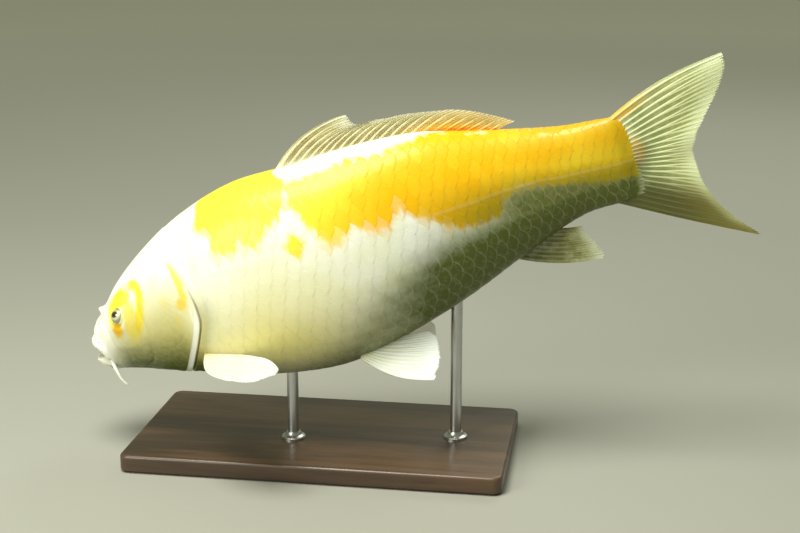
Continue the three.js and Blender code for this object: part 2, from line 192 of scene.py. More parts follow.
def makeMesh(name, points, faces, marks=None, uv=None, sharpOver=None):
    # marks are named numbers, one for each point; uv is a place for each corner of each face
    mesh = bpy.data.meshes.new(name)
    faces = np.asarray(faces, np.int32)
    mesh.vertices.add(len(points))
    mesh.vertices.foreach_set("co", np.asarray(points, np.float32).ravel())
    mesh.loops.add(faces.size)
    mesh.loops.foreach_set("vertex_index", faces.ravel())
    mesh.polygons.add(len(faces))
    mesh.polygons.foreach_set("loop_start", np.arange(0, faces.size, faces.shape[1], dtype=np.int32))
    mesh.update(calc_edges=True)
    mesh.shade_smooth()
    for key, value in (marks or {}).items():
        layer = mesh.attributes.new(key, "FLOAT", "POINT")
        layer.data.foreach_set("value", value.astype(np.float32))
    if uv is not None:
        layer = mesh.uv_layers.new(name="OFBake")
        layer.data.foreach_set("uv", np.asarray(uv, np.float32).ravel())
    if sharpOver is not None:
        mesh.set_sharp_from_angle(angle=math.radians(sharpOver))
    piece = bpy.data.objects.new(name, mesh)
    bpy.context.scene.collection.objects.link(piece)
    return piece


def dress(piece, material, slot, *nodes):
    piece.data.materials.append(material)
    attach(piece, "root")
    if nodes:
        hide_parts(*nodes)


def gridFaces(rows, columns, loop=False, flip=False):
    # faces between neighbouring rows of points; loop joins the last column to the first
    shown = np.arange(columns if loop else columns - 1)
    row, column = np.meshgrid(np.arange(rows - 1), shown, indexing="ij")
    first, second = row * columns + column, row * columns + (column + 1) % columns
    faces = np.stack([first, second, second + columns, first + columns], -1).reshape(-1, 4)
    return faces[:, ::-1] if flip else faces


def sheetFaces(rows, columns, left):
    # faces of a thin closed sheet: the grid of its top, then that of its underside, and the rim
    count = rows * columns
    grid = np.arange(count).reshape(rows, columns)
    rim = np.concatenate([grid[0], grid[1:, -1], grid[-1, -2::-1], grid[-2:0:-1, 0]])
    following = np.roll(rim, -1)
    edge = np.stack([rim, following, following + count, rim + count], -1)
    top, bottom = gridFaces(rows, columns, flip=True), gridFaces(rows, columns) + count
    faces = np.concatenate([top, bottom, edge])
    return faces if left else faces[:, ::-1]


def closedTube(rings, flip=False):
    # points and triangles of rings of points, with a fan over each end
    steps, sides = rings.shape[:2]
    points = np.concatenate([rings.reshape(-1, 3), rings[:1].mean(1), rings[-1:].mean(1)])
    quads = gridFaces(steps, sides, loop=True)
    number = np.arange(sides)
    following = (number + 1) % sides
    last = (steps - 1) * sides
    start = np.stack([following, number, np.full(sides, steps * sides)], -1)
    end = np.stack([last + number, last + following, np.full(sides, steps * sides + 1)], -1)
    faces = np.concatenate([quads[:, [0, 1, 2]], quads[:, [0, 2, 3]], start, end])
    return points, faces[:, ::-1] if flip else faces


def withEnds(rings):
    # the marks of a closed tube, with those of the two points that close it
    return np.append(rings.ravel(), [rings[0].mean(), rings[-1].mean()])


class Wire:
    # one output of a node, with arithmetic that adds Math nodes
    def __init__(self, tree, socket):
        self.tree, self.socket = tree, socket

    def math(self, operation, *values):
        made = self.tree.nodes.new("ShaderNodeMath")
        made.operation = operation
        for slot, value in zip(made.inputs, values):
            if isinstance(value, Wire):
                self.tree.links.new(value.socket, slot)
            else:
                slot.default_value = value
        return Wire(self.tree, made.outputs[0])

    def __add__(self, other):
        return self.math("ADD", self, other)

    def __sub__(self, other):
        return self.math("SUBTRACT", self, other)

    def __rsub__(self, other):
        return self.math("SUBTRACT", other, self)

    def __mul__(self, other):
        return self.math("MULTIPLY", self, other)

    __radd__ = __add__
    __rmul__ = __mul__

    def wave(self):
        return self.math("SINE", self)

    def clamped(self):
        return self.math("MAXIMUM", self.math("MINIMUM", self, 1.0), 0.0)


class Finish:
    # a material and the nodes that are added to it
    def __init__(self, name):
        self.material = bpy.data.materials.new(name)
        self.material.use_nodes = True
        self.tree = self.material.node_tree
        self.tree.nodes.clear()

    def node(self, kind, settings=None, inputs=None, output=0):
        made = self.tree.nodes.new("ShaderNode" + kind)
        for key, value in (settings or {}).items():
            setattr(made, key, value)
        for key, value in (inputs or {}).items():
            slot = made.inputs[key]
            if isinstance(value, Wire):
                self.tree.links.new(value.socket, slot)
            else:
                slot.default_value = (*value, 1) if slot.type == "RGBA" else value
        return Wire(self.tree, made.outputs[output])

    def marks(self, *names):
        wires = [self.node("Attribute", {"attribute_name": name}, output="Fac") for name in names]
        return wires if len(names) > 1 else wires[0]

    def blend(self, share, first, second):
        # inputs 6 and 7 of a Mix node are its two colours, and output 2 its colour
        return self.node("Mix", {"data_type": "RGBA"}, {0: share, 6: first, 7: second}, 2)

    def pattern(self, kind, size, stretch=(1, 1, 1), **inputs):
        # size is that of one patch of the pattern, in metres
        place = self.node("TexCoord", output="Object")
        place = self.node("VectorMath", {"operation": "MULTIPLY"}, {0: place, 1: stretch})
        return self.node(kind, None, {"Vector": place, "Scale": 1 / size, **inputs})

    def noise(self, size, detail=3.0, roughness=0.55, stretch=(1, 1, 1), distortion=0.0):
        settings = {"Detail": detail, "Roughness": roughness, "Distortion": distortion}
        return self.pattern("TexNoise", size, stretch, **settings)

    def spread(self, wire, low, high):
        # 0 at low and 1 at high, smooth between them
        ends = {"Value": wire, 1: low, 2: high}
        return self.node("MapRange", {"interpolation_type": "SMOOTHSTEP"}, ends)

    def over(self, colour, *layers):
        # colours laid one over another, each by its share
        for share, other in layers:
            colour = self.blend(share, colour, other)
        return colour

    def relief(self, height, depth):
        return self.node("Bump", None, {"Height": height, "Distance": depth, "Strength": 1.0})

    def surface(self, colour, roughness, normal=None, gloss=None, waxy=None, more=None):
        # gloss is the coat's weight and roughness; waxy how much light goes in, and how deep
        inputs = {"Base Color": colour, "Roughness": roughness}
        if normal:
            inputs["Normal"] = normal
        if gloss:
            inputs["Coat Weight"], inputs["Coat Roughness"] = gloss
        if waxy:
            inputs["Subsurface Weight"], inputs["Subsurface Radius"] = waxy
            inputs["Subsurface Scale"] = 1.0
        shader = self.node("BsdfPrincipled", None, {**inputs, **(more or {})})
        out = self.tree.nodes.new("ShaderNodeOutputMaterial")
        self.tree.links.new(shader.socket, out.inputs["Surface"])
        return self.material


# Markings. Angles are read on the left side, and folded() gives the right side the same ones.
marking = {
    # the saddle's lower edge on each side, as (place, angle)
    "leftEdge": [
        (0.281, 60), (0.284, 131), (0.303, 139), (0.304, 149), (0.318, 153), (0.339, 154),
        (0.350, 149), (0.355, 152), (0.367, 156), (0.383, 152), (0.397, 149), (0.406, 143),
        (0.413, 142), (0.418, 145), (0.421, 139), (0.434, 138), (0.448, 140), (0.450, 147),
        (0.455, 153), (0.463, 152), (0.466, 159), (0.476, 164), (0.485, 167), (0.495, 165),
        (0.512, 162), (0.521, 160), (0.535, 164), (0.548, 168), (0.566, 167), (0.575, 168),
        (0.586, 162), (0.597, 161), (0.610, 167), (0.633, 171), (0.655, 177), (0.682, 182),
        (0.717, 186), (0.748, 185), (0.760, 179), (0.775, 175), (0.797, 173), (0.83, 177),
        (0.863, 184), (0.900, 192), (0.935, 198), (1.0, 204),
    ],
    "rightEdge": [
        (0.29, 60), (0.293, 126), (0.31, 141), (0.33, 147), (0.35, 141), (0.38, 138), (0.41, 146),
        (0.44, 158), (0.46, 156), (0.49, 164), (0.52, 157), (0.55, 162), (0.575, 159), (0.61, 172),
        (0.65, 170), (0.67, 178), (0.7, 181), (0.74, 186), (0.76, 180), (0.79, 176), (0.85, 182),
        (0.92, 190), (1.0, 198),
    ],
    # the white band beside the dorsal fin
    "bandEdge": [
        (0.27, 60), (0.419, 60), (0.4195, 101), (0.431, 111), (0.45, 118), (0.465, 119),
        (0.487, 118), (0.505, 119), (0.52, 116), (0.542, 111), (0.56, 115), (0.585, 117),
        (0.613, 113), (0.649, 112), (0.667, 100), (0.697, 97), (0.72, 70), (1.0, 60),
    ],
    # small detached patches: place, angle, and reach along and round the body in millimetres
    "spots": [(0.4277, 160, 9.5, 4.4), (0.4277, 160, 4.6, 9.0)],
    # the same with a strength, for paler places in the gold; the three at 0.74, 0.759 and 0.8555 are
    # painted highlights on the back
    "gaps": [
        (0.441, 114, 3.2, 10, 0.7), (0.4345, 130, 2.8, 9, 0.55), (0.74, 106, 4.0, 2.4, 0.6),
        (0.759, 102, 5.5, 3.2, 0.95), (0.70, 103, 4, 2.5, 0.5), (0.8555, 118, 4.5, 2.2, 0.5),
    ],
    "lateral": [
        (0.235, 160), (0.325, 162), (0.434, 162), (0.524, 166), (0.611, 170), (0.698, 172),
        (0.773, 172), (0.829, 174), (0.865, 178), (0.906, 180), (0.959, 182), (1.0, 183),
    ],
    # where the scales end over the roots of the tail's rays
    "stalkEnd": [
        (90, 0.962), (105, 0.972), (120, 0.981), (140, 0.991), (158, 0.997), (177, 0.994),
        (196, 0.984), (220, 0.979), (250, 0.971), (270, 0.966),
    ],
    # washes: strength, and the ramps by which they set in along the body and round it. The shade washes
    # are painted shade, and the shade tints are its straw cast; the first two are the gold's own orange
    "crestOrange": (0.3, (0.78, 0.95), (125, 100)),
    "stalkPale": (0.45, (0.7, 0.8), (145, 170)),
    "stalkShade": (0.92, (0.65, 0.79), (-24, 12)),
    "goldShade": (0.9, (0.54, 0.76), (-22, 12)),
    "jowlShade": (0.7, (0.035, 0.09), (146, 214)),
    "stalkShadeTint": (0.8, (0.7, 0.84), (158, 174)),
    "jowlShadeTint": (0.8, (0.04, 0.12), (140, 190)),
}


def folded(angle):
    # 90 is the back and 270 the belly, on either side
    angle = (np.asarray(angle, float) + 90) % 360 - 90
    return np.where(angle < 90, 180 - angle, angle)


def within(t, angle, spot):
    # 1 in the middle of an oval patch of the skin, falling to 0 at its rim
    place, middle, reach, spread = spot
    girth = (along("back", place) + along("belly", place) + 2 * along("side", place)) / 4 * fullTurn
    across = (t - place) * body["length"] / (reach * mm)
    return 1 - np.hypot(across, (angle - middle) * girth / 360 / (spread * mm))


def pastStalk(t, angle):
    # how far past the end of the coat a point is, as a share of the length
    return t - throughPoints(*zip(*marking["stalkEnd"]), np.clip(angle, 90, 270))


def gillEdge(angle):
    return throughPoints(*zip(*skin["gillEdge"]), angle)


def wash(key, t, around):
    strength, alongRamp, aroundRamp = marking[key]
    return strength * ramp(*alongRamp, t) * ramp(*aroundRamp, around)


def bodyMarks(t, angle, left, soft=2.2):
    # gold, how deep its orange is, the painted shade of the lower flank and jowl, and the straw tint,
    # from 0 to 1.
    # soft is the width of the gold's edges in degrees
    leftEdge, rightEdge = (straightThrough(marking[key], t) for key in ("leftEdge", "rightEdge"))
    jagged = 0.9 * np.sin(t * 410 + np.sin(angle * 0.5)) + 0.7 * np.sin(t * 930 + angle * 0.21)
    lowEdge = np.where(left, leftEdge, rightEdge) + 1 + jagged
    topEdge = straightThrough(marking["bandEdge"], t) + 0.8 * np.sin(t * 370)
    gold = ramp(-soft, soft, lowEdge - angle) * ramp(-soft, soft, angle - topEdge)
    for spot in marking["spots"]:
        gold = np.maximum(gold, left * ramp(-0.06 * soft, 0.06 * soft, within(t, angle, spot)))
    for *spot, strength in marking["gaps"]:
        gold = gold * (1 - left * strength * ramp(-0.1 * soft, 0.22 * soft, within(t, angle, spot)))
    ahead = 1 - ramp(0, 0.01, pastStalk(t, angle))
    above = np.clip((lowEdge - angle) / 60, 0, 1)
    deep = 0.95 * ramp(0.42, 0.63, t) + 0.35 * (1 - above) ** 2.5 * ramp(0.36, 0.52, t)
    deep = deep + wash("crestOrange", t, angle) - wash("stalkPale", t, angle)

    # painted shade, standing in for the light falling off under the body, sets in below the lateral
    # line, further up towards the rear
    below = angle - straightThrough(marking["lateral"], t)
    mottled = 0.011 * np.sin(angle * 0.19 + t * 60) * np.sin(angle * 0.43 - t * 90)
    rear = ramp(0.42, 0.64, t + 0.0013 * (below - 34) + mottled)
    shade = ramp(10 - 14 * rear, 66 - 36 * rear, below) * (0.26 + 0.74 * rear)
    # more painted shade on the belly's underside, and most at its middle
    low = 0.5 * ramp(48, 94, below) + 0.3 * bump(t - 0.44, 0.09) * ramp(44, 76, below)
    shade = np.maximum(shade + low * (1 - shade), wash("stalkShade", t, below))
    # painted shade over the gold: along its lower edge towards the rear, and over the stalk
    overStalk = 0.3 * ramp(0.72, 0.9, t) + 0.2 * ramp(0.9, 0.99, t)
    shade = np.maximum(shade, gold * np.maximum(wash("goldShade", t, below), overStalk))
    front = 1 - ramp(0.2, 0.26, t)
    # painted shade and a straw cast in the hollow behind the gill cover
    behind = t - gillEdge(np.clip(angle, 90, 270))
    gillHollowShade = ramp(-0.001, 0.003, behind) * ramp(0.04, 0.006, behind) * ramp(166, 182, angle)
    # painted shade on the jowl and throat, and in the gill hollow
    shade = np.maximum(shade + front * wash("jowlShade", t, angle), 0.4 * gillHollowShade)
    # the painted shade fades out past the last scales, except on the lower side
    shade = (shade * np.maximum(ahead, 0.85 * ramp(166, 184, angle))).clip(0, 1)
    # straw tint: low on the front flank, and as the yellow cast of the painted shade in the gill hollow,
    # on the stalk and on the jowl
    tint = np.maximum(bump(angle - 211, 36) * bump(t - 0.35, 0.14), 0.6 * gillHollowShade)
    tint = np.maximum(tint, wash("stalkShadeTint", t, angle)) + front * wash("jowlShadeTint", t, angle)
    return {"gold": gold * ahead, "deep": deep.clip(0, 1), "shade": shade, "tint": tint * ahead}


headMarking = {
    # yellow patches: place, angle, reach along and round in millimetres, strength and orange
    "patches": [
        (0.106, 142, 16, 10, 1.0, 0.0), (0.092, 144, 9, 8, 0.95, 0.05), (0.121, 147, 9, 8, 0.9, 0.05),
        (0.086, 156, 6, 12, 0.9, 0.2), (0.126, 162, 9, 10, 0.75, 0.12), (0.121, 174, 8, 9, 0.68, 0.3),
        (0.0905, 169.5, 6.8, 7.0, 1.0, 0.95), (0.231, 171.5, 6.5, 4.5, 0.85, 0.5),
        (0.2, 167, 6, 6, 0.22, 0.4), (0.19, 150, 7, 8, 0.12, 0.1), (0.2165, 180, 5, 5, 0.2, 0.4),
    ],
    # strokes: a route over the skin, half width, strength and orange
    "strokes": [
        (
            [(0.128, 138), (0.1413, 139.5), (0.1515, 144), (0.1555, 151), (0.154, 157),
             (0.149, 164), (0.142, 170.5), (0.1335, 176), (0.1245, 180.5), (0.117, 185)],
            5.4, 0.97, 0.14,
        ),
        ([(0.226, 141), (0.2325, 150), (0.2365, 159), (0.238, 168), (0.236, 175)], 3.6, 0.85, 0.2),
    ],
    "paleGap": (0.141, 153, 3.0, 9.5),
}


def headMarks(t, angle, points):
    # gold and orange on the head, each layer over the ones before it
    ragged = 0.1 * np.sin(t * 310 + 2.1 * np.sin(angle * 0.31)) * np.sin(angle * 0.33 + t * 110)
    ragged = ragged + 0.07 * np.sin(t * 690 + angle * 0.5) * np.sin(angle * 0.71 - t * 300)
    layers = []
    for *spot, strength, orange in headMarking["patches"]:
        layers.append((strength * ramp(-0.1, 0.5, within(t, angle, spot) + ragged), orange))
    for route, width, strength, orange in headMarking["strokes"]:
        distance, place = nearestOn(points, skinLine(route, 24))
        fade = ramp(-0.05, 0.12, place) * (1 - 0.8 * ramp(0.75, 1.05, place))
        inner = ramp(1.3, 0.4, distance / (width * mm) - 1.5 * ragged)
        layers.append((strength * fade * inner, orange))
    gold, deep = np.zeros(t.shape), np.zeros(t.shape)
    for here, orange in layers:
        deep = np.where(here > gold, orange, deep)
        gold = np.maximum(gold, here)
    return gold * (1 - 0.8 * ramp(0, 0.6, within(t, angle, headMarking["paleGap"]) + ragged)), deep


skin = {
    "rings": 386,
    "halfColumns": 129,
    "headStep": 0.58,
    "bodyStep": 3.0,
    "finestAt": 0.21,  # the base place of the gill opening's rings
    "headEnd": 0.27,
    # the rear edge of the gill cover and the nape's line, as (angle, place)
    "gillEdge": [
        (90, 0.194), (112, 0.2), (132, 0.212), (149.5, 0.2325), (160.5, 0.2425), (170, 0.248),
        (177, 0.2498), (184, 0.247), (193, 0.236), (209, 0.2155), (225, 0.197), (240, 0.1815),
        (256, 0.165), (270, 0.1575),
    ],
    "gillHub": (0.16, 146.0),
    "eye": (0.0975, 157),
    "eyeRims": ((0.85, 6.4, 1.0), (-0.35, 9.2, 1.3), (0.5, 12, 3)),  # height, radius and width
    "nostril": (0.052, 117),
    # its two openings: millimetres along, radius and depth
    "openings": ((-3.2, 1.3, 2.2), (3.4, 1.6, 3.2)),
    # each lip's middle from the front to the corner of the mouth, and its radius in millimetres
    "upperLip": ([(0.0074, 90), (0.0125, 160), (0.0305, 180), (0.037, 208)], 4.8),
    "lowerLip": ([(0.0068, 270), (0.0135, 200), (0.0215, 206.5), (0.034, 216.5)], 5.2),
    "cleft": [
        (0.004, 185), (0.012, 187), (0.0215, 190), (0.031, 194), (0.037, 202), (0.041, 210),
        (0.0425, 216),
    ],
    "lipSetBack": 2.0,
    "untouched": -6.0,  # a height in millimetres that is under everything
}

# Ridges and grooves of the head: route over the skin, height and half width in millimetres.
headFolds = [
    # lip fold, maxilla and the fold behind it
    ([(0.019, 90), (0.024, 130), (0.031, 154), (0.039, 168), (0.045, 184), (0.0455, 202)], -0.45, 1.5),
    ([(0.038, 118), (0.047, 148), (0.054, 170), (0.056, 188), (0.052, 203), (0.045, 213)], 0.45, 2.8),
    ([(0.052, 128), (0.061, 155), (0.067, 176), (0.067, 194), (0.058, 214)], -0.45, 1.5),
    # under the jaw, and the foot of the cheek
    ([(0.043, 221), (0.06, 227), (0.09, 231), (0.118, 233)], -0.6, 1.8),
    ([(0.066, 184), (0.088, 189), (0.11, 190.5), (0.13, 188)], 0.35, 3.6),
    ([(0.068, 193), (0.09, 198), (0.112, 199), (0.128, 197)], -0.3, 2.4),
    # the cheek's rear edge before the gill cover, and the foot of the cover
    ([(0.151, 134), (0.147, 158), (0.148, 180), (0.143, 200), (0.128, 217), (0.104, 227)], -0.6, 1.6),
    ([(0.143, 138), (0.139, 160), (0.14, 180), (0.134, 198), (0.119, 213)], 0.45, 3.6),
    ([(0.15, 197), (0.175, 199), (0.2, 195), (0.225, 184)], -0.22, 1.2),
    # folds under the throat
    ([(0.085, 247), (0.12, 243), (0.152, 245)], -0.8, 1.2),
    ([(0.08, 257), (0.115, 253), (0.15, 255)], -0.8, 1.2),
    ([(0.07, 270), (0.11, 270), (0.156, 270)], -1.2, 2.0),
    # along the crown, and the brow
    ([(0.075, 90), (0.13, 90), (0.19, 90)], -0.3, 3.5),
    ([(0.075, 130), (0.09, 134), (0.112, 135), (0.125, 141)], 0.55, 3.0),
]
# lines of pores, and how many each has
poreLines = [
    ([(0.047, 116), (0.075, 127), (0.11, 132), (0.15, 137), (0.195, 143)], 15),
    ([(0.072, 150), (0.073, 166), (0.084, 179), (0.105, 182), (0.125, 172), (0.133, 156)], 12),
    ([(0.136, 172), (0.137, 190), (0.127, 206), (0.105, 217), (0.075, 220)], 11),
]


def ringPlaces():
    # closer on the head, and closest at the gill opening
    noseEnd, bluntness = body["noseFrom"] + body["noseShare"], body["noseBluntness"]
    share = np.linspace(0.03, 1, 300)[:-1]
    tip = noseEnd - body["noseShare"] * (1 - share**bluntness) ** (1 / bluntness)
    t = np.concatenate([tip, np.linspace(noseEnd, 1, 3000)])
    reach = (flesh(t, 90)[:, 2] - flesh(t, 270)[:, 2]) / 2
    arc = np.hypot(np.diff(t) * body["length"], np.diff(reach))
    step = skin["headStep"] + (skin["bodyStep"] - skin["headStep"]) * ramp(0.25, 0.32, t)
    step = step * (1 - 0.6 * bump(t - skin["finestAt"], 0.007)) * (1 - 0.6 * ramp(0.985, 1, t))
    return spaced(t, arc / (step[1:] * mm), skin["rings"])


def columnAngles():
    # from the belly up the left side to the back, closer beside the eye and the mouth
    angle = np.linspace(270, 90, 1001)
    density = 1 + 0.7 * (ramp(108, 130, angle) - ramp(208, 228, angle))
    return spaced(angle, density[1:], skin["halfColumns"])


def reachAt(place, angle):
    # how far the skin runs there for a whole length along the body and for one degree
    lengthwise = flesh(place + 0.004, angle) - flesh(place - 0.004, angle)
    around = flesh(place, angle + 2) - flesh(place, angle - 2)
    return np.linalg.norm(lengthwise) / 0.008, np.linalg.norm(around) / 4


def roundAbout(t, angle, centre, inner, outer):
    # turns the grid's squares about a centre into circles, so that a rim there is round
    perLength, perDegree = reachAt(*centre)
    across, around = (t - centre[0]) * perLength, (angle - centre[1]) * perDegree
    square = np.maximum(np.abs(across), np.abs(around))
    radial = np.maximum(np.hypot(across, around), 1e-9)
    share = 1 + (square / radial - 1) * (1 - ramp(inner * mm, outer * mm, square))
    return centre[0] + across * share / perLength, centre[1] + around * share / perDegree


def skinGrid():
    t, angle = np.meshgrid(ringPlaces(), columnAngles(), indexing="ij")
    follow = ramp(0.06, 0.2, t) * (1 - ramp(0.22, 0.4, t))
    t = t + (gillEdge(angle) - skin["finestAt"]) * follow
    t, angle = roundAbout(t, angle, skin["eye"], 11, 19)
    return roundAbout(t, angle, skin["nostril"], 5, 9)


def outward(points):
    # unit normals of the left half's grid, level at the midlines
    padded = np.concatenate([mirrored(points[:, 1:2]), points, mirrored(points[:, -2:-1])], 1)
    normal = unit(np.cross(np.gradient(points, axis=0), (padded[:, 2:] - padded[:, :-2]) / 2))
    middle = points * np.array([1, 0, 0]) - np.array([0, 0, 0.008])
    return normal * np.sign(np.median((normal * (points - middle)).sum(-1)))


def lipLine(key, count=60):
    # the middle of a lip from the front to the left corner of the mouth
    left = flesh(*np.array(skin[key][0]).T) + np.array([skin["lipSetBack"] * mm, 0, 0])
    left[0, 1] = 0
    return throughEach(np.concatenate([mirrored(left[:0:-1]), left]), np.linspace(0.5, 1, count))


def lipHeight(points, normals, key):
    # how far each point moves along its normal to reach a lip's tube, in millimetres
    line, radius = lipLine(key), skin[key][1]
    distance, place = nearestOn(points, line)
    number = np.linspace(0, 1, len(line))
    nearest = np.stack([np.interp(place, number, line[:, k]) for k in range(3)], -1)
    ahead = ((nearest - points) * normals).sum(-1) / mm
    aside = np.maximum((distance / mm) ** 2 - ahead**2, 0)
    radius = radius * (0.36 + 0.64 * np.sin(math.pi * (0.5 + place / 2)) ** 0.8)
    reached = ahead + np.sqrt(np.maximum(radius**2 - aside, 0))
    return np.where(aside < radius**2, reached, skin["untouched"])


def sculptHead(t, angle, points, normals):
    # how far the skin stands out from the plain form, and the marks that follow it. Heights and
    # distances here are in millimetres
    rise = np.zeros(t.shape)

    def near(line):
        distance, place = nearestOn(points, line)
        return distance / mm, place

    for route, height, width in headFolds:
        distance, place = near(skinLine(route, 40))
        fade = ramp(-0.02, 0.12, place) * (1 - ramp(0.88, 1.02, place))
        rise += height * bump(distance, width) * fade
    for route, count in poreLines:
        line = skinLine(route, 50)
        distance, place = near(line)
        apart = np.linalg.norm(np.diff(line, axis=0), axis=-1).sum() / count / mm
        fromPore = (place * count - np.round(place * count)) * apart
        rise += 0.18 * bump(distance, 1.5) - 0.45 * bump(np.hypot(distance, fromPore), 0.75)

    # gill cover: a plate with fine ribs, its rear edge, and the slot behind it
    behind = (t - gillEdge(angle)) * body["length"] / mm
    onCover = ramp(131, 146, angle) * (1 - 0.35 * ramp(238, 262, angle))
    lowPart = ramp(172, 184, angle)
    toHub = (points - flesh(*skin["gillHub"])) / mm
    ribs = 0.06 * np.sin(np.arctan2(toHub[..., 2], toHub[..., 0]) * 46)
    ribs = ribs * ramp(12, 26, np.linalg.norm(toHub, axis=-1))
    bone = 1 - ramp(-0.5, 0.5, behind + 0.8 + 4.3 * lowPart)
    rise += onCover * ramp(-40, -24, behind) * (0.55 + ribs * (behind < -3)) * (behind < 0)
    rise += onCover * 0.45 * bone * ramp(-14, -3, behind)
    deepness = 0.4 + (0.6 + 0.8 * ramp(160, 178, angle)) * onCover
    rise -= deepness * ramp(-0.15, 0.4, behind) * (1 - ramp(0.7, 2.6, behind))

    # the eye's socket in a raised rim
    perLength, perDegree = reachAt(*skin["eye"])
    fromEye = np.hypot((t - skin["eye"][0]) * perLength, (angle - skin["eye"][1]) * perDegree) / mm
    for height, radius, width in skin["eyeRims"]:
        rise += height * bump(fromEye - radius, width)
    rise -= 6 * (1 - ramp(5.3, 5.95, fromEye))

    # the nostril: two openings in a mound with a flap between them
    offset = (points - flesh(*skin["nostril"])) / mm
    ahead, aside = offset[..., 0], np.linalg.norm(offset[..., 1:], axis=-1)
    rise += 1.9 * bump(np.hypot(ahead, aside), 4.4) + 2.3 * bump(ahead + 0.2, 1.5) * bump(aside, 2.9)
    for place, radius, depth in skin["openings"]:
        opening = np.hypot(ahead - place, aside)
        rise -= depth * (1 - ramp(0.75 * radius, 1.35 * radius, opening))
        rise += 0.5 * bump(opening - 1.5 * radius, 0.6)

    # lips and the open mouth, which narrows to its corners
    lips = np.maximum(lipHeight(points, normals, "upperLip"), lipHeight(points, normals, "lowerLip"))
    rise = smoothMax(rise, lips, 0.7)
    distance, place = near(skinLine(skin["cleft"], 60))
    width = 0.7 + 2.9 * (1 - place) ** 1.2
    mouth = 1 - ramp(width - 0.5, width + 0.9, distance)
    rise -= mouth * (2.5 + 9 * (1 - place))
    # the gill slot behind the cover is darkened as painted shade
    slot = onCover * ramp(-0.2, 0.3, behind) * (1 - ramp(0.5, 1.6, behind))
    slot = slot * (0.1 + 0.5 * ramp(160, 178, angle))
    membrane = onCover * ramp(-5.8, -4.8, behind) * (behind < 0.3) * lowPart
    onLips = ramp(0, 1.2, lips) * (1 - mouth)
    return rise, {"inside": np.maximum(mouth, slot), "lips": onLips, "membrane": membrane}


def stalkTaper(t):
    # the tail stalk thins to the roots of the tail's rays
    return 1 - 0.66 * ramp(0.962, 1.0, t)


def unwrapped(ring, column):
    # a place of the unwrap, in which the skin's grid lies along the fish by along its sides
    place = np.stack([(ring + 1) / (skin["rings"] + 1), column / (2 * skin["halfColumns"] - 1)], -1)
    return place * 0.98 + 0.01


def skinUnwrap(triangles, rings, columns):
    ring, column = triangles // columns, triangles % columns
    wraps = (column.max(1) - column.min(1)) > columns / 2
    column = np.where(wraps[:, None] & (column < columns / 2), column + columns, column)
    tips = triangles >= rings * columns
    ring = np.where(tips, np.where(triangles > rings * columns, rings, -1), ring)
    return unwrapped(ring, np.where(tips, column[:, [0]], column))


def bothSides(values):
    return np.concatenate([values, values[:, -2:0:-1]], 1)


def makeSkin(material):
    t, angle = skinGrid()
    points = flesh(t, angle)
    normals = outward(points)
    behind = (t - gillEdge(angle)) * body["length"] / mm
    rise = -body["coatDepth"] / mm * ramp(4, 10, behind) - 0.08
    head = np.where(t.min(1) < skin["headEnd"])[0].max() + 1
    sculpted, headOnly = sculptHead(t[:head], angle[:head], points[:head], normals[:head])
    rise[:head] += sculpted
    # the tail's rays show through the skin past the last scales
    bare = ramp(-0.002, 0.01, pastStalk(t, angle))
    phase = (0.5 - points[..., 2] / (2 * tailFin["rootHeight"] * body["length"])) * tailFin["rays"]
    rays = 0.9 * bump(phase - np.floor(phase) - 0.5, 0.2) + 0.1
    rise += rays * bare * ramp(0.2, 0.6, np.abs(normals[..., 1]))
    left = points + normals * (rise * mm)[..., None]
    left[..., 1] *= stalkTaper(t)
    left[:, [0, -1], 1] = 0
    whole = np.concatenate([left, mirrored(left[:, -2:0:-1])], 1)
    rings, columns = whole.shape[:2]

    isLeft = np.arange(columns) < skin["halfColumns"]
    marks = bodyMarks(bothSides(t), bothSides(angle), isLeft)
    headGold, headDeep = headMarks(t[:head], angle[:head], points[:head])
    onHead = ramp(2, -1, bothSides(behind)[:head])
    shownGold = bothSides(headGold) * np.where(isLeft, 1, 0.85)
    marks["gold"][:head] = np.maximum(marks["gold"][:head] * (1 - onHead), shownGold * onHead)
    marks["deep"][:head] += (bothSides(headDeep) - marks["deep"][:head]) * onHead
    for key, value in headOnly.items():
        headOnly[key] = bothSides(value)
    for key, value in {**headOnly, "head": onHead}.items():
        marks[key] = np.concatenate([value, np.zeros((rings - head, columns))])
    # the lips stay out of the painted shade; past the scales the rays' pale roots fade on the lower side
    # under it
    marks["shade"] = marks["shade"] * (1 - 0.9 * marks["lips"])
    marks["bare"] = bothSides(bare * (1 - 0.75 * ramp(166, 184, angle)))

    points, triangles = closedTube(whole)
    marks = {key: withEnds(value) for key, value in marks.items()}
    uv = skinUnwrap(triangles, rings, columns)
    piece = makeMesh("koi_skin", inPlace(points), triangles[:, ::-1], marks, uv[:, ::-1])
    nodes = ["head", "lower_jaw", "upper_lip", "lower_lip", "tail_stalk"]
    nodes += [f"trunk_{part}" for part in ("front", "middle", "rear")]
    nodes += [f"{name}_{side}" for name in ("gill_cover", "nostril") for side in ("left", "right")]
    dress(piece, material, "pearl_skin", *nodes)


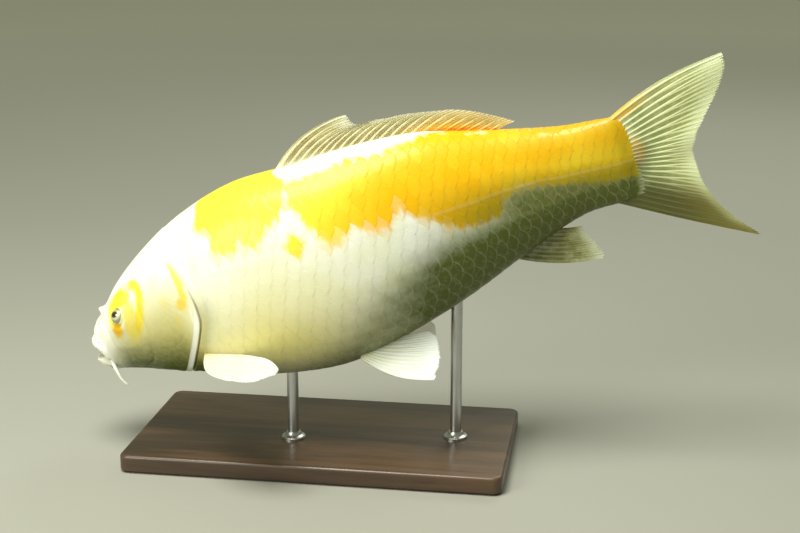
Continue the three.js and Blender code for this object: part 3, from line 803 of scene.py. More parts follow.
coat = {
    # how far apart scales are along a row, and rows across the body, in millimetres by place
    "alongStep": [(0.15, 9.2), (0.3, 10.8), (0.45, 11.4), (0.6, 11.2), (0.8, 9.9), (1.0, 8.6)],
    "rowStep": [(0.15, 12), (0.3, 14.2), (0.45, 15), (0.6, 14), (0.75, 11.6), (0.9, 10), (1.0, 9.2)],
    "from": 0.17,
    "to": 1.03,
    "clearOfGill": 3.6,
    "openingGap": 7.0,
    "rows": 12,
    "lengthInSteps": 1.95,
    "halfWidthInRows": 1.0,
    "rearRound": 0.86,  # how far the rear edge falls back at the sides, in steps along
    "rearHeight": 0.36,
    "frontHeight": -0.1,
    "thickness": 0.19,
    # endwise runs from the hidden root to the free edge, crosswise over it
    "endwise": [0, 0.16, 0.32, 0.46, 0.58, 0.69, 0.79, 0.88, 0.945, 0.982, 1],
    "crosswise": [-1, -0.93, -0.74, -0.5, -0.25, 0, 0.25, 0.5, 0.74, 0.93, 1],
    "dorsalBase": (0.425, 0.778),
    "analBase": (0.745, 0.83),
    # how far each marking keeps to one value over a scale
    "evenColour": {"gold": 0.3, "deep": 0.2, "shade": 0.1, "tint": 0.0},
}


class ArcMap:
    # turns an arc length from the back's midline, as a share of the half girth, into an angle
    def __init__(self):
        self.places = np.linspace(0.1, coat["to"], 280)
        self.shares = np.linspace(0, 1, 181)
        angles = np.linspace(90, 270, 361)
        line = flesh(self.places[:, None], angles[None, :], -body["coatDepth"])
        steps = np.linalg.norm(np.diff(line, axis=1), axis=-1)
        arcs = np.concatenate([np.zeros((len(line), 1)), np.cumsum(steps, 1)], 1)
        lateral = straightThrough(marking["lateral"], self.places)
        self.whole = arcs[:, -1]
        self.table = np.stack([np.interp(self.shares, arc / arc[-1], angles) for arc in arcs])
        self.lateral = np.array([np.interp(at, angles, arc) for at, arc in zip(lateral, arcs)])

    def girth(self, t):
        return np.interp(t, self.places, self.whole)

    def lateralAt(self, t):
        return np.interp(t, self.places, self.lateral)

    def angle(self, t, share):
        # past either midline the angle goes on round the other side
        onBack, onBelly = share < 0, share > 1
        inside = np.where(onBack, -share, np.where(onBelly, 2 - share, share))
        rows, columns = (len(values) - 1.001 for values in (self.places, self.shares))
        row = np.clip((t - self.places[0]) / (self.places[1] - self.places[0]), 0, rows)
        column = np.clip(inside * (len(self.shares) - 1), 0, columns)
        i, j = row.astype(int), column.astype(int)
        p, q = row - i, column - j
        low = self.table[i, j] * (1 - q) + self.table[i, j + 1] * q
        high = self.table[i + 1, j] * (1 - q) + self.table[i + 1, j + 1] * q
        angle = low * (1 - p) + high * p
        return np.where(onBack | onBelly, 180 - angle, angle)


def scaleRoots(arcs):
    # the rear middle of every scale on the left side: place, arc from the back, row, and midline
    places = np.linspace(coat["from"], coat["to"], 800)
    steps = np.diff(places) * body["length"] / (straightThrough(coat["alongStep"], places[1:]) * mm)
    counts = np.concatenate([[0], np.cumsum(steps)])
    bases = coat["dorsalBase"], coat["analBase"]
    firstGap = coat["openingGap"] * mm / body["length"]
    roots = []

    def inCoat(t, angle):
        return gillEdge(angle) + firstGap < t and pastStalk(t, angle) < -0.001

    for row in range(-coat["rows"], coat["rows"] + 1):
        for t in np.interp(np.arange(1, counts[-1], 1) + row % 2 / 2, counts, places):
            step = straightThrough(coat["rowStep"], t) * mm
            arc, whole = arcs.lateralAt(t) - row * step, arcs.girth(t)
            # rows come nearer to a midline where a fin stands on it
            toBack, toBelly = (0.3 if base[0] < t < base[1] else 0.7 for base in bases)
            inRange = arc >= toBack * step and whole - arc >= toBelly * step
            if inRange and inCoat(t, arcs.angle(t, arc / whole)):
                roots.append((t, arc / whole, row, 0))
    for share, base in enumerate(bases):
        for t in np.interp(np.arange(1, counts[-1], 1), counts, places):
            if inCoat(t, 90 + 180 * share) and not base[0] - 0.004 < t < base[1] + 0.012:
                roots.append((t, share, 99, 1))
    return np.array(roots)


def makeScales(roots, arcs, left, name, material, draws):
    # closed curved plates
    count = len(roots)
    e, c = np.meshgrid(np.array(coat["endwise"]), np.array(coat["crosswise"]), indexing="ij")
    t0, share0, row, midline = (roots[:, k, None, None] for k in range(4))
    size = 1 + draws.uniform(-0.05, 0.05, t0.shape)
    alongStep = straightThrough(coat["alongStep"], t0) * mm
    rowStep = straightThrough(coat["rowStep"], t0) * mm
    narrowed = 0.72 + 0.28 * np.sin(math.pi / 2 * np.minimum(e / 0.6, 1))
    aside = c * coat["halfWidthInRows"] * rowStep * size * narrowed
    back = coat["rearRound"] * alongStep * (aside / rowStep) ** 2 * e**2
    wave = draws.uniform(-0.25, 0.25, t0.shape) * mm * np.sin(3 * c + 240 * t0)
    x = t0 * body["length"] - coat["lengthInSteps"] * alongStep * (1 - e) - back + wave * e
    rowsAway = (arcs.lateralAt(t0) - share0 * arcs.girth(t0)) / rowStep
    for _ in range(2):
        t = np.minimum(x / body["length"], 1.0)
        girth = arcs.girth(t)
        onRow = arcs.lateralAt(t) - rowsAway * straightThrough(coat["rowStep"], t) * mm - aside
        share = np.where(midline > 0, share0 - aside / girth, (onRow / girth).clip(0.003, 0.997))
        angle = arcs.angle(t, share)
        # the first scales come out from under the skin behind the gill opening
        opening = gillEdge(folded(angle)) * body["length"]
        x = np.maximum(x, opening + (coat["clearOfGill"] + 1.2 * e) * mm)
    t = np.minimum(x / body["length"], 1.0)

    low, high = coat["frontHeight"], coat["rearHeight"] + draws.uniform(-0.05, 0.05, t0.shape)
    edges = 0.13 * ramp(0.93, 1, e) + 0.1 * ramp(0.88, 1, np.abs(c))
    fan = np.sin(c * 26) * 0.018 * ramp(0.5, 0.8, e)
    tube = 0.28 * bump(aside, 1.25 * mm) * ramp(0.35, 0.55, e) * (1 - ramp(0.84, 0.95, e))
    height = low + (high - low) * e**1.15 - 0.1 * c**2 - edges + fan + tube * (row == 0)
    height = height * ramp(1.0, 0.96, t)
    thick = coat["thickness"] * (1 - 0.5 * ramp(0.9, 1, np.maximum(e, np.abs(c))))
    layers = []
    for lift in (height, height - thick):
        layer = flesh(t, angle, lift * mm - body["coatDepth"])
        layer[..., 1] *= stalkTaper(t)
        layers.append((layer if left else mirrored(layer)).reshape(count, -1, 3))
    points = inPlace(np.concatenate(layers, 1))
    perScale = points.shape[1]
    faces = sheetFaces(*e.shape, left)
    faces = (faces[None] + (np.arange(count) * perScale)[:, None, None]).reshape(-1, 4)

    middleT = (t0 - 0.38 * alongStep / body["length"]).ravel()
    middleAngle = folded(arcs.angle(middleT, share0.ravel()))
    whole = bodyMarks(middleT, middleAngle, left, soft=2)
    placed = bodyMarks(t.reshape(count, -1), folded(angle).reshape(count, -1), left)
    marks = {}
    for key, even in coat["evenColour"].items():
        marks[key] = np.tile(even * whole[key][:, None] + (1 - even) * placed[key], 2).ravel()
    marks["own"] = np.repeat(draws.uniform(0, 1, count), perScale)
    marks["endwise"], marks["crosswise"] = (np.tile(grid.ravel(), 2 * count) for grid in (e, c))
    marks["lateral"] = np.repeat((row.ravel() == 0) * 1.0, perScale)

    # each scale unwraps to a small patch at its own place on the skin's unwrap
    ringAt = np.interp(t0.ravel(), ringPlaces(), np.arange(skin["rings"]))
    columnAt = np.interp(-middleAngle, -columnAngles(), np.arange(skin["halfColumns"]))
    columnAt = columnAt if left else 2 * (skin["halfColumns"] - 1) - columnAt
    patch = np.stack([np.tile(e.ravel(), 2) - 0.5, np.tile(c.ravel(), 2) / 2], -1) * 0.003
    uv = (unwrapped(ringAt, columnAt)[:, None] + patch[None]).reshape(-1, 2)[faces.ravel()]
    dress(makeMesh(name, points.reshape(-1, 3), faces, marks, uv, sharpOver=50), material, "pearl_skin")


def makeCoat(material):
    arcs = ArcMap()
    roots = scaleRoots(arcs)
    for side in ("left", "right"):
        for part, chosen in (("front", roots[:, 0] < 0.5), ("rear", roots[:, 0] >= 0.5)):
            # the left side brings the scales of both midlines
            own = chosen if side == "left" else chosen & (roots[:, 3] == 0)
            draws = np.random.default_rng(12 if side == "left" else 11)
            makeScales(roots[own], arcs, side == "left", f"scales_{side}_{part}", material, draws)
            print(own.sum(), "scales on the", side, part)


eye = {
    "radius": 7.9 * mm,
    "inset": 4.9 * mm,
    "lookForward": -0.17,
    "lookUp": 0.16,
    "pupil": 2.8,  # millimetres on the ball's front, measured round it
    "iris": 5.6,
    "sides": 96,
    "rings": 72,
    "corneaRise": 0.035,
    "corneaWidth": 0.42,
}


def makeEye(side, material):
    # a ball with a slightly raised clear front; marks tell how far a point is from the pupil
    turn, out = np.meshgrid(turns(eye["sides"]), np.linspace(0.004, math.pi - 0.004, eye["rings"]))
    centre = flesh(*skin["eye"], -eye["inset"])
    look = np.array([eye["lookForward"], 0, eye["lookUp"]]) * eye["inset"]
    axis = unit(flesh(*skin["eye"]) - centre + look)
    right = unit(np.cross(axis, [0, 0, 1.0]))
    rim = np.cos(turn)[..., None] * right + np.sin(turn)[..., None] * np.cross(right, axis)
    ball = np.cos(out)[..., None] * axis + np.sin(out)[..., None] * rim
    radius = eye["radius"] * (1 + eye["corneaRise"] * bump(out, eye["corneaWidth"]))
    points = centre + ball * radius[..., None]
    fromPupil = out * eye["radius"] / mm * (1 - 0.1 * np.cos(turn) ** 2 - 0.05 * np.sin(turn))
    points, faces = closedTube(onSide(points, side == "left"), flip=side == "right")
    marks = {"fromPupil": withEnds(fromPupil), "aroundPupil": withEnds(turn)}
    dress(makeMesh(f"eyeball_{side}", points, faces, marks), material, "eye_gloss", f"eye_{side}")


barbels = {
    # where it leaves the skin and how deep, its route in millimetres from there, and its radius
    "barbel_corner": {
        "from": (0.039, 211.0, -2.0),
        "route": [(0, 0, 0), (3.4, -3.8, -8.9), (6.2, -5.6, -17.4), (10.4, -6.2, -24.2)],
        "root": 2.05,
    },
    "barbel_upper": {
        "from": (0.033, 165.0, -1.5),
        "route": [(0, 0, 0), (-0.8, -3.6, -2.4), (0.2, -5.4, -5.8), (2.2, -6, -9.4)],
        "root": 1.45,
    },
}


def makeBarbels(material, steps=60, sides=20):
    share = np.linspace(0, 1, steps)
    turn = turns(sides)[:, None]
    for name, barbel in barbels.items():
        t, angle, grow = barbel["from"]
        line = throughEach(flesh(t, angle, grow * mm) + np.array(barbel["route"]) * mm, share)
        ahead = unit(np.gradient(line, axis=0))
        first = unit(np.cross(ahead, [0.9, 0.1, 0.4]))
        ring = np.cos(turn) * first[:, None] + np.sin(turn) * np.cross(ahead, first)[:, None]
        rounded = np.sqrt(np.clip(1 - ((share - 0.93) / 0.07).clip(0, 1) ** 2, 0.02, 1))
        wrinkled = 1 + 0.02 * np.sin(share * steps * 1.3)
        radius = barbel["root"] * mm * (1 - 0.68 * share) * rounded * wrinkled
        rings = line[:, None] + ring * radius[:, None, None]
        for side in ("left", "right"):
            points, faces = closedTube(onSide(rings, side == "left"), flip=side == "right")
            marks = {"out": withEnds(np.repeat(share[:, None], sides, 1))}
            piece = makeMesh(f"{name}_skin_{side}", points, faces, marks)
            dress(piece, material, "pearl_skin", f"{name}_{side}")


def dorsalGild(u, v):
    return ramp(0.5, 0.82, u) * (0.3 + 0.7 * ramp(0.65, 0.2, v))


# the fin's own deep orange along the rear of its base, darkened as painted shade in the valley where it
# meets the back
def dorsalShadedOrange(u, v):
    top = 0.34 + 0.2 * ramp(0.72, 0.95, u)
    return ramp(0.63, 0.74, u) * ramp(top, top - 0.17, v) * (1 - 0.6 * bump(u - 0.92, 0.05))


def pastRoots(u, v):
    # how far a point of the tail is past the end of the coat
    return pastStalk(tailPoint(u, v)[..., 0] / body["length"], 90 + 180 * u)


def tailGild(u, v):
    leading = ramp(0.1, 0.015, u) * ramp(0.5, 0.16, v) * 0.75
    onRoots = ramp(0.015, 0.001, pastRoots(u, v)) * ramp(0.16, 0.36, u) * ramp(0.7, 0.56, u)
    return np.maximum(leading, 0.5 * onRoots)


# painted shade over the tail's lower lobe and over the rays' roots past the scales
def tailPaintedShade(u, v):
    lower = ramp(0.6, 0.86, u) * (0.96 - 0.3 * ramp(0.8, 1, v) * ramp(1, 0.9, u))
    onRoots = ramp(0.035, 0.002, pastRoots(u, v)) * (0.55 + 0.25 * ramp(0.45, 0.62, u))
    return np.maximum(lower, onRoots * ramp(0.22, 0.42, u))


# Fins. Each has its rays' lengths and directions as the solids do, and finer settings of its own.
# gild, shadedOrange and paintedShade say where the body's gold, its darkest orange (darkened as painted
# shade at the dorsal fin's base) and its painted shade run on to them.
finRoot = 5 * mm
plainFin = {"spine": 1.5, "pleat": 0.3, "wave": 0.6, "edge": 0.34}
dorsalFin = {
    **plainFin, "from": 0.425, "to": 0.775, "lengths": [71, 52, 43, 38, 35, 37, 30, 20],
    "lifts": [51, 42, 43, 44, 43, 41, 39, 33], "curls": [27, 7],
    "rays": 21, "spine": 2.2, "pleat": 0.75, "notch": 0.05, "wave": 0.7, "root": 3.6, "edge": 0.32,
    "gild": dorsalGild, "shadedOrange": dorsalShadedOrange,
}
analFin = {
    **plainFin, "from": 0.745, "to": 0.825, "lengths": [72, 66, 55, 42, 29, 20],
    "droops": [20, 19, 18, 17, 16, 16], "curl": 15,
    "rays": 8, "spine": 2.0, "pleat": 0.5, "notch": 0.05, "root": 3.6,
}
tailFin = {
    **plainFin, "rootHeight": 0.062,
    "upper": [(84, 64), (86, 52), (70, 31), (50, 8), (40, -7)],
    "lower": [(40, -7), (40, -22), (44, -44), (54, -66), (75, -92)],
    "rays": 22, "spine": 1.6, "pleat": 0.35, "notch": 0.035, "wave": 0.9, "root": 6.6,
    "gild": tailGild, "paintedShade": tailPaintedShade,
}
pairedFins = {
    "pectoral": {
        **plainFin, "at": 0.239, "angle": 213.0, "along": (60, -66, -22), "across": (-53, -65, 6),
        "rootWidth": 12, "spread": (14, -19), "lengths": [58, 72, 79, 76, 63, 43], "bow": 7,
        "inset": 5, "rays": 16, "notch": 0.03, "root": 4.4,
    },
    "pelvic": {
        **plainFin, "at": 0.462, "angle": 249.0, "along": (61, -16, -26), "across": (10, -27, -35),
        "rootWidth": 16, "spread": (10, -18), "lengths": [59, 61, 61, 60, 57, 50], "bow": 6,
        "inset": 5, "rays": 10, "notch": 0.035, "wave": 0.5, "root": 4.4,
    },
}


def dorsalPoint(u, v):
    fin = dorsalFin
    t = fin["from"] + (fin["to"] - fin["from"]) * u
    here = along("back", t)
    fall = np.arctan((along("back", t + 0.01) - here) / (0.01 * body["length"]))
    lift = np.radians(throughEven(fin["lifts"], u) - throughEven(fin["curls"], u) * v) + fall
    reach = (throughEven(fin["lengths"], u) * mm + 1.6 * finRoot) * v
    up = here - finRoot + reach * np.sin(lift)
    return vectors(t * body["length"] - finRoot + reach * np.cos(lift), 0, up)


def analPoint(u, v):
    fin = analFin
    t = fin["from"] + (fin["to"] - fin["from"]) * u
    droop = np.radians(throughEven(fin["droops"], u) + fin["curl"] * (1 - v))
    reach = (throughEven(fin["lengths"], u) * mm + 1.8 * finRoot) * v
    up = finRoot + 2 * mm - along("belly", t) - reach * np.sin(droop)
    return vectors(t * body["length"] - finRoot + reach * np.cos(droop), 0, up)


def tailPoint(u, v):
    # u runs over both lobes, from the top ray to the bottom one
    across = 1 - 2 * u
    rootX = (0.985 - 0.05 * across**2) * body["length"]
    rootUp = tailFin["rootHeight"] * body["length"] * across
    upper = throughEach(tailFin["upper"], np.clip(2 * u, 0, 1))
    lower = throughEach(tailFin["lower"], np.clip(2 * u - 1, 0, 1))
    tips = np.where(u[..., None] < 0.5, upper, lower) * mm
    bow = np.where(across > 0, 7, -2) * np.abs(across) ** 3 * np.sin(math.pi * v) * mm
    x = rootX + (body["length"] + tips[..., 0] - rootX) * v
    return vectors(x, 0, rootUp + (tips[..., 1] - rootUp) * v + bow)


def pairedPoint(fin):
    middle, across = unit(np.array(fin["along"], float)), np.array(fin["across"], float)
    across = unit(across - middle * (across @ middle))
    centre = flesh(fin["at"], fin["angle"], -fin["inset"] * mm)
    first, last = fin["spread"]

    def point(u, v):
        turned = np.radians(first + (last - first) * u)
        reach = (throughEven(fin["lengths"], u) + fin["inset"]) * v
        bow = fin["bow"] * (1 - u) * np.sin(math.pi * v)
        aside = fin["rootWidth"] * (0.5 - u) + reach * np.sin(turned) + bow
        return centre + (across * aside[..., None] + middle * (reach * np.cos(turned))[..., None]) * mm

    return point


def makeFin(name, pointAt, fin, material, nodes, draws, left=True, perRay=12, steps=72):
    # a closed thin sheet with its rays standing out on both faces, forking towards the edge
    across, outwards = np.linspace(0, 1, fin["rays"] * perRay + 1), np.linspace(0, 1, steps) ** 0.9
    u, v = np.meshgrid(across, outwards, indexing="ij")
    phase = u * fin["rays"]
    number = np.clip(np.floor(phase), 0, fin["rays"] - 1)
    fromRay = phase - number - 0.5
    soft = np.where(number < 1, 0, 1)
    fork = 0.235 * ramp(0.3, 0.8, v) * soft
    twig = 0.115 * ramp(0.6, 1, v) * soft
    width = 0.2 - 0.11 * ramp(0.2, 0.85, v)
    branches = [bump(fromRay - p * fork - q * twig, width) for p in (-1, 1) for q in (-1, 1)]
    ray = np.maximum.reduce(branches)
    rayLengths = draws.uniform(0.975, 1.0, fin["rays"] + 1)
    rayLengths[0] = 1
    reach = np.interp(phase, np.arange(fin["rays"] + 1) + 0.5, rayLengths)
    reach = reach - fin["notch"] * (1 - ray) * ramp(0.8, 1, v) * soft
    middle = pointAt(u, np.clip(v * (1 - (1 - reach) * ramp(0.3, 1, v)), 0, 1))
    normal = unit(np.cross(np.gradient(middle, axis=0), np.gradient(middle, axis=1)))

    # thickness, then the pleats between the rays and the ripple of the whole sheet
    lead = np.exp(-(phase**2) / 0.5)
    joints = 0.5 + 0.5 * np.cos(fullTurn * v * 34)
    bulk = fin["edge"] + (fin["root"] - fin["edge"]) * (1 - v) ** 2.6
    jointed = 1 - 0.12 * joints * ramp(0.2, 0.4, v)
    half = 0.5 * bulk + (0.55 + fin["spine"] * 0.5 * lead) * (1 - 0.72 * v) * jointed * ray
    pleat = fin["pleat"] * np.abs(np.abs(fromRay) * 2 - 0.5) * ramp(0.05, 0.5, v)
    shift = pleat + fin["wave"] * np.sin(phase * 0.9 + 2.6 * v + draws.uniform(0, 6)) * ramp(0.3, 1, v)
    layers = [middle + normal * ((shift + way * half) * mm)[..., None] for way in (1, -1)]
    points = onSide(np.concatenate([layer.reshape(-1, 3) for layer in layers]), left)
    shown = {"ray": ray, "out": v, "lead": lead}
    for key in ("gild", "shadedOrange", "paintedShade"):
        shown[key] = fin[key](u, v) if key in fin else np.zeros(u.shape)
    marks = {key: np.tile(value.ravel(), 2) for key, value in shown.items()}
    piece = makeMesh(name, points, sheetFaces(*u.shape, left), marks, sharpOver=70)
    dress(piece, material, "fin_web", *nodes)


def makeFins():
    draws = np.random.default_rng(23)
    tailNodes = ["tail_fin_upper", "tail_fin_lower"]
    makeFin("dorsal_web", dorsalPoint, dorsalFin, finFinish("dorsal"), ["dorsal_fin"], draws)
    makeFin("anal_web", analPoint, analFin, finFinish("anal"), ["anal_fin"], draws)
    makeFin("tail_web", tailPoint, tailFin, finFinish("tail"), tailNodes, draws)
    for name, fin in pairedFins.items():
        finish, pointAt = finFinish(name), pairedPoint(fin)
        for side in ("left", "right"):
            own, nodes = np.random.default_rng(31), [f"{name}_fin_{side}"]
            makeFin(f"{name}_web_{side}", pointAt, fin, finish, nodes, own, side == "left")


palette = {
    "pearl": (0.86, 0.885, 0.69),
    "milk": (0.92, 0.93, 0.85),
    "shadeOlive": (0.082, 0.105, 0.016),
    "straw": (0.90, 0.77, 0.20),
    "lemon": (0.93, 0.78, 0.048),
    "amber": (0.90, 0.47, 0.001),
    "shadedGold": (0.22, 0.195, 0.003),
    "shadedOrange": (0.66, 0.17, 0.004),
    "finShade": (0.066, 0.07, 0.004),
    "rayRoot": (0.64, 0.70, 0.46),
    "blush": (0.80, 0.56, 0.44),
    "gulletShade": (0.10, 0.045, 0.03),
    "scaleRootShade": (0.16, 0.15, 0.05),
    "barbelTip": (0.62, 0.62, 0.48),
}
wetSheen = {"Specular IOR Level": 0.34, "Specular Tint": (1.0, 0.95, 0.66)}


def fishColour(made, own=None):
    # the white, the painted shade of the flank and the gold, the same on the skin and on its scales
    gold, deep, shade, tint = made.marks("gold", "deep", "shade", "tint")
    broad = made.noise(0.045, detail=2)
    fine = made.noise(0.004, detail=4)
    white = made.blend(made.spread(broad, 0.35, 0.65), palette["pearl"], palette["milk"])
    flank = made.blend((tint * 0.8).clamped(), white, palette["straw"])
    # painted shade darkens the white to olive
    flank = made.blend((shade * (0.82 + fine * 0.36)).clamped(), flank, palette["shadeOlive"])
    rich = (deep + (broad - 0.5) * 0.5 + (0 if own is None else (own - 0.5) * 0.22)).clamped()
    yellow = made.blend(rich, palette["lemon"], palette["amber"])
    # and the gold to a dark bronze
    yellow = made.blend((shade * 0.95).clamped(), yellow, palette["shadedGold"])
    return made.blend(gold, flank, yellow), gold, shade, fine


def skinFinish():
    made = Finish("koiSkin")
    colour, gold, shade, fine = fishColour(made)
    head, lips, inside, membrane, bare = made.marks("head", "lips", "inside", "membrane", "bare")
    veins = made.spread(made.noise(0.011, detail=5, distortion=0.6), 0.56, 0.74)
    colour = made.over(
        colour,
        (veins * head * (1 - gold) * 0.1, palette["blush"]),
        (lips * 0.1, palette["blush"]),
        (bare * 0.9, palette["rayRoot"]),
        (membrane * 0.85, palette["milk"]),
        # the mouth's opening and the gill slot, dark red-brown as painted shade in those recesses
        (inside, palette["gulletShade"]),
    )
    pores = made.pattern("TexVoronoi", 0.0016)
    bumps = made.relief(pores * 0.6 + made.noise(0.0009, detail=2) * 0.7, 0.00006)
    roughness = 0.34 + fine * 0.14 + shade * 0.06
    waxy = (0.12, (0.004, 0.0022, 0.0012))
    return made.surface(colour, roughness, bumps, (0.24, 0.16), waxy, wetSheen)


def scaleFinish():
    made = Finish("koiScales")
    own, endwise, crosswise, lateral = made.marks("own", "endwise", "crosswise", "lateral")
    colour, gold, shade, fine = fishColour(made, own)
    # rim: the free edges a little paler where the flank carries painted shade
    rim = made.spread(endwise, 0.9, 0.99)
    # root: painted shade where each scale's root tucks under the free edge of the one ahead
    root = 1 - made.spread(endwise, 0.42, 0.66)
    line = lateral * made.spread(crosswise.math("ABSOLUTE", crosswise), 0.16, 0.06)
    colour = made.over(
        colour,
        ((rim * shade * 0.14 * (1 - gold * 0.8)).clamped(), palette["pearl"]),
        ((root * (0.03 + shade * 0.2 + gold * 0.05)).clamped(), palette["scaleRootShade"]),
        (line * made.spread(endwise, 0.4, 0.55) * (0.25 - gold * 0.2), palette["milk"]),
    )
    rings = (endwise * 95 + fine * 5).wave()
    fans = (crosswise * 42).wave() * made.spread(endwise, 0.55, 0.95)
    bumps = made.relief(rings * 0.16 + fans * 0.84, 0.000028)
    roughness = 0.33 + fine * 0.12 + own * 0.05
    waxy = (0.08, (0.003, 0.002, 0.001))
    more = {**wetSheen, "Metallic": ((1 - gold) * 0.1).clamped()}
    return made.surface(colour, roughness, bumps, (0.2, 0.14), waxy, more)


finFinishes = {
    # base of the fin, web, rays and outer margin
    "dorsal": [(0.74, 0.70, 0.50), (0.28, 0.24, 0.095), (0.66, 0.61, 0.37), (0.74, 0.71, 0.50)],
    "anal": [(0.18, 0.20, 0.065), (0.095, 0.11, 0.032), (0.23, 0.26, 0.11), (0.80, 0.86, 0.66)],
    "tail": [palette["rayRoot"], (0.26, 0.30, 0.11), (0.74, 0.80, 0.47), (0.74, 0.78, 0.46)],
    "pectoral": [(0.80, 0.72, 0.40), (0.68, 0.67, 0.46), (0.84, 0.84, 0.68), (0.86, 0.87, 0.78)],
    "pelvic": [(0.90, 0.89, 0.68), (0.88, 0.89, 0.72), (0.95, 0.96, 0.88), (0.95, 0.96, 0.92)],
}


def finFinish(name):
    made = Finish(name + "Web")
    base, web, rays, margin = finFinishes[name]
    ray, out, lead, gild, shadedOrange, paintedShade = made.marks("ray", "out", "lead", "gild", "shadedOrange", "paintedShade")
    mottle = made.noise(0.009, detail=4)
    colour = made.blend((made.spread(ray, 0.15, 0.8) * 0.85 + lead * 0.5).clamped(), web, rays)
    colour = made.over(
        colour,
        (made.spread(mottle, 0.4, 0.7) * 0.22, margin),
        (made.spread(out, 0.72, 1.0) * 0.55, margin),
        (1 - made.spread(out, 0.03, 0.22), base),
        (gild, palette["amber"]),
        (shadedOrange, palette["shadedOrange"]),
        (paintedShade, palette["finShade"]),
    )
    joints = (out * 260).wave() * ray * made.spread(out, 0.2, 0.4)
    bumps = made.relief(joints * 0.4 + made.noise(0.0012, detail=3) * 0.6, 0.00012)
    waxy = (0.45, (0.006, 0.0045, 0.0025))
    return made.surface(colour, 0.36 + mottle * 0.14, bumps, (0.25, 0.2), waxy)


def barbelFinish():
    made = Finish("barbelSkin")
    mottle = made.noise(0.003, detail=3)
    toTip = made.spread(made.marks("out"), 0.3, 1.0) * 0.5
    patches = made.spread(mottle, 0.45, 0.75) * 0.25
    colour = made.over(palette["milk"], (toTip, palette["barbelTip"]), (patches, palette["blush"]))
    waxy = (0.3, (0.004, 0.002, 0.0015))
    return made.surface(colour, 0.32 + mottle * 0.1, made.relief(mottle, 0.0001), (0.4, 0.15), waxy)


eyeColours = {
    "iris": ((0.60, 0.62, 0.42), (0.84, 0.84, 0.62)),
    "gilt": (0.62, 0.50, 0.10),
    "upper": (0.36, 0.33, 0.10),
    "rim": (0.40, 0.38, 0.22),
    "pupil": ((0.01, 0.01, 0.006), (0.045, 0.05, 0.018)),
}


def eyeFinish():
    made = Finish("koiEye")
    fromPupil, around = made.marks("fromPupil", "aroundPupil")
    pupilEdge, irisEdge = eye["pupil"], eye["iris"]
    streaks = made.noise(0.0011, detail=4)
    iris = made.over(
        made.blend(made.spread(streaks, 0.35, 0.65), *eyeColours["iris"]),
        (made.spread(fromPupil, pupilEdge + 0.9, pupilEdge + 0.3) * 0.75, eyeColours["gilt"]),
        (made.spread(around.wave(), 0.2, 1.0) * 0.45, eyeColours["upper"]),
        (made.spread(fromPupil, irisEdge - 0.9, irisEdge + 0.4), eyeColours["rim"]),
    )
    pupil = made.blend(made.spread(fromPupil, 0.4, pupilEdge), *eyeColours["pupil"])
    colour = made.blend(made.spread(fromPupil, pupilEdge - 0.15, pupilEdge + 0.15), pupil, iris)
    roughness = 0.22 - made.spread(fromPupil, pupilEdge + 0.1, pupilEdge - 0.1) * 0.12
    more = {"Metallic": made.spread(fromPupil, pupilEdge, pupilEdge + 0.4) * 0.35}
    return made.surface(colour, roughness, made.relief(streaks, 0.0001), (1.0, 0.03), more=more)


def woodFinish():
    made = Finish("standWood")
    rings = made.noise(0.03, detail=6, roughness=0.6, stretch=(0.08, 1, 1), distortion=0.5)
    fibre = made.noise(0.0016, detail=3, stretch=(0.04, 1, 1))
    dark = made.blend(made.spread(rings, 0.35, 0.68), (0.030, 0.016, 0.008), (0.105, 0.056, 0.028))
    colour = made.blend(made.spread(fibre, 0.5, 0.75) * 0.45, dark, (0.014, 0.008, 0.005))
    bumps = made.relief(fibre * 0.6 + rings * 0.4, 0.0002)
    return made.surface(colour, 0.34 + fibre * 0.16, bumps, (0.3, 0.22))


def steelFinish():
    made = Finish("standSteel")
    brushed = made.noise(0.0008, detail=3, stretch=(1, 1, 0.03))
    smudge = made.spread(made.noise(0.02, detail=3), 0.4, 0.7) * 0.3
    colour = made.blend(smudge, (0.55, 0.56, 0.57), (0.42, 0.42, 0.42))
    bumps = made.relief(brushed, 0.00004)
    return made.surface(colour, 0.24 + brushed * 0.16, bumps, more={"Metallic": 1.0})


stand = {
    "rods": {"front": 0.33, "rear": 0.63},
    "rodRadius": 5.0,
    "into": 4.0 * mm,  # how far a rod goes up into the fish
    "under": 2.0 * mm,
    # radius and height of the collar's rings, in millimetres
    "collar": [(10.5, 0), (10.5, 1.6), (9.9, 2.3), (8.2, 2.7), (7, 3.4), (6.6, 5.2), (6.2, 5.9), (5, 6)],
    "corner": 9.0 * mm,
    "fillet": 3.0 * mm,
    "foot": 2.2 * mm,
}


def lathe(profile, centre, sides=72):
    # points of a turned form: rings of (radius, height) round a vertical axis
    turn = turns(sides)
    radius, height = (np.array(values)[:, None] for values in zip(*profile))
    return vectors(radius * np.cos(turn), radius * np.sin(turn), height) + np.array(centre)


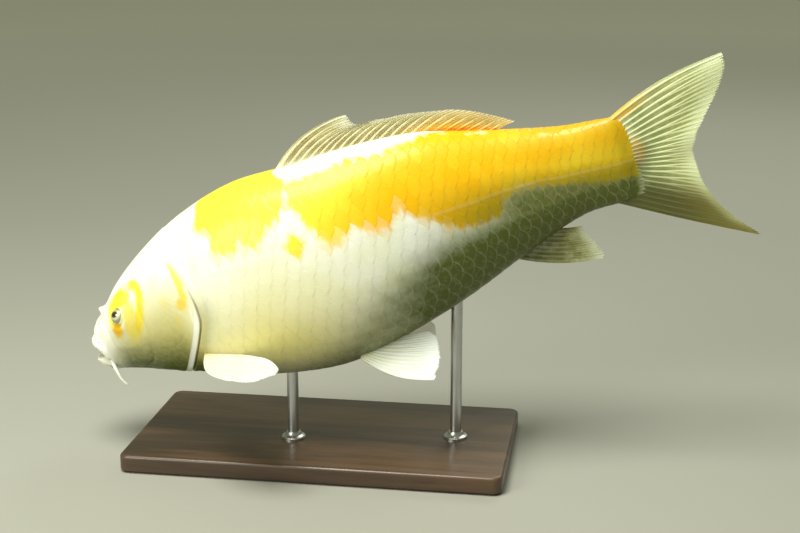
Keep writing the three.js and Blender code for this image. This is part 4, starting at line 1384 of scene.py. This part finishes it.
def makeStand(wood, steel):
    # a base block with rounded edges over a narrower foot, and two rods in turned collars
    low, high = (np.array(corner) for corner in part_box("stand_base"))
    fillet, foot, corner = stand["fillet"], stand["foot"], stand["corner"]
    profile = [(foot, 0), (foot, foot * 0.8), (0.3 * mm, foot), (0, foot + 0.3 * mm)]
    for bend in np.linspace(0, math.pi / 2, 7):
        profile.append((fillet * (1 - math.cos(bend)), high[2] - fillet * (1 - math.sin(bend))))
    turn = turns(64) + math.pi / 64
    ring = np.stack([np.cos(turn), np.sin(turn)], -1)
    middle = np.where(ring > 0, high[:2], low[:2]) - np.sign(ring) * corner
    rings = []
    for inset, height in profile:
        rings.append(vectors(*(middle + (corner - inset) * ring).T, height))
    points, faces = closedTube(np.array(rings))
    dress(makeMesh("stand_block", points, faces, sharpOver=35), wood, "stand_wood", "stand_base")

    for place, t in stand["rods"].items():
        top = inPlace(flesh(t, 270.0))
        radius = stand["rodRadius"] * mm
        rod = [(radius, high[2] - stand["under"]), (radius, top[2] + stand["into"])]
        points, faces = closedTube(lathe(rod, (top[0], top[1], 0)))
        piece = makeMesh(f"stand_rod_shaft_{place}", points, faces, sharpOver=35)
        dress(piece, steel, "stand_steel", f"stand_rod_{place}")
        collar = np.array(stand["collar"]) * mm
        points, faces = closedTube(lathe(collar, (top[0], top[1], high[2])))
        dress(makeMesh(f"stand_collar_{place}", points, faces, sharpOver=35), steel, "stand_steel")


studio = {
    "azimuth": 9.0,
    "elevation": 15.0,
    "target": (0.0665, 0.0, 0.1705),
    "distance": 1.3,
    "lens": 68.1,
    "sensor": 36,
    # lights: name, place, size, power, colour
    "lights": [
        ("overhead", (-0.26, -0.40, 1.5), 0.8, 27.5, (1.0, 0.99, 0.89)),
        ("key", (-0.95, -1.25, 0.86), 0.8, 16.4, (0.99, 1.0, 0.88)),
        ("behind", (0.5, 1.5, 1.5), 1.0, 9, (0.98, 1.0, 0.90)),
    ],
    "lightsAim": (0.08, 0, 0.2),
    "sky": (0.84, 0.87, 0.58),
    "skyStrength": 0.32,
    "floorRings": [0.001, 0.3, 0.6, 1.0, 1.5, 2.1, 2.8, 3.6, 4.6, 6, 9, 14, 24],
    "floorColours": [(0.33, 0.33, 0.295), (0.80, 0.80, 0.76)],
    "floorSides": 96,
}


def addToScene(name, data, location, rotation):
    piece = bpy.data.objects.new(name, data)
    piece.location, piece.rotation_euler = location, rotation
    bpy.context.scene.collection.objects.link(piece)
    return piece


def makeStudio():
    turn, rise = math.radians(studio["azimuth"]), math.radians(studio["elevation"])
    away = np.array([math.sin(turn) * math.cos(rise), -math.cos(turn) * math.cos(rise), math.sin(rise)])
    lens = bpy.data.cameras.new("viewer")
    lens.lens, lens.sensor_width, lens.clip_start = studio["lens"], studio["sensor"], 0.05
    location = np.array(studio["target"]) + away * studio["distance"]
    bpy.context.scene.camera = addToScene("viewer", lens, location, (math.pi / 2 - rise, 0, turn))
    for name, place, size, power, colour in studio["lights"]:
        lamp = bpy.data.lights.new(name, "AREA")
        lamp.shape, lamp.size, lamp.energy, lamp.color = "DISK", size, power, colour
        look = unit(np.array(studio["lightsAim"]) - np.array(place))
        rotation = math.acos(-look[2]), 0, math.atan2(look[1], look[0]) - math.pi / 2
        addToScene(name, lamp, place, rotation)
    world = bpy.data.worlds.new("paleRoom")
    world.use_nodes = True
    sky = world.node_tree.nodes["Background"]
    sky.inputs["Color"].default_value = (*studio["sky"], 1)
    sky.inputs["Strength"].default_value = studio["skyStrength"]
    bpy.context.scene.world = world
    bpy.context.scene.view_settings.view_transform = "Standard"

    # a round floor, painted paler away from the model, making up for the lamps' light falling off there
    reach, around = np.array(studio["floorRings"]), studio["floorSides"]
    rings = lathe([(radius, 0) for radius in reach], (0, 0, 0), around)
    paintedLight = np.repeat(ramp(0.5, 4, reach), around)
    faces = gridFaces(len(reach), around, loop=True, flip=True)
    floor = makeMesh("floor", rings.reshape(-1, 3), faces, {"paintedLight": paintedLight})
    made = Finish("paleFloor")
    colour = made.blend(made.marks("paintedLight"), *studio["floorColours"])
    floor.data.materials.append(made.surface(colour, 0.7))


makeStudio()
print("studio made")
makeSkin(skinFinish())
print("skin made")
makeCoat(scaleFinish())
print("scales made")
eyeGloss = eyeFinish()
makeEye("left", eyeGloss)
makeEye("right", eyeGloss)
makeBarbels(barbelFinish())
print("eyes and barbels made")
makeFins()
print("fins made")
makeStand(woodFinish(), steelFinish())
print("stand made")
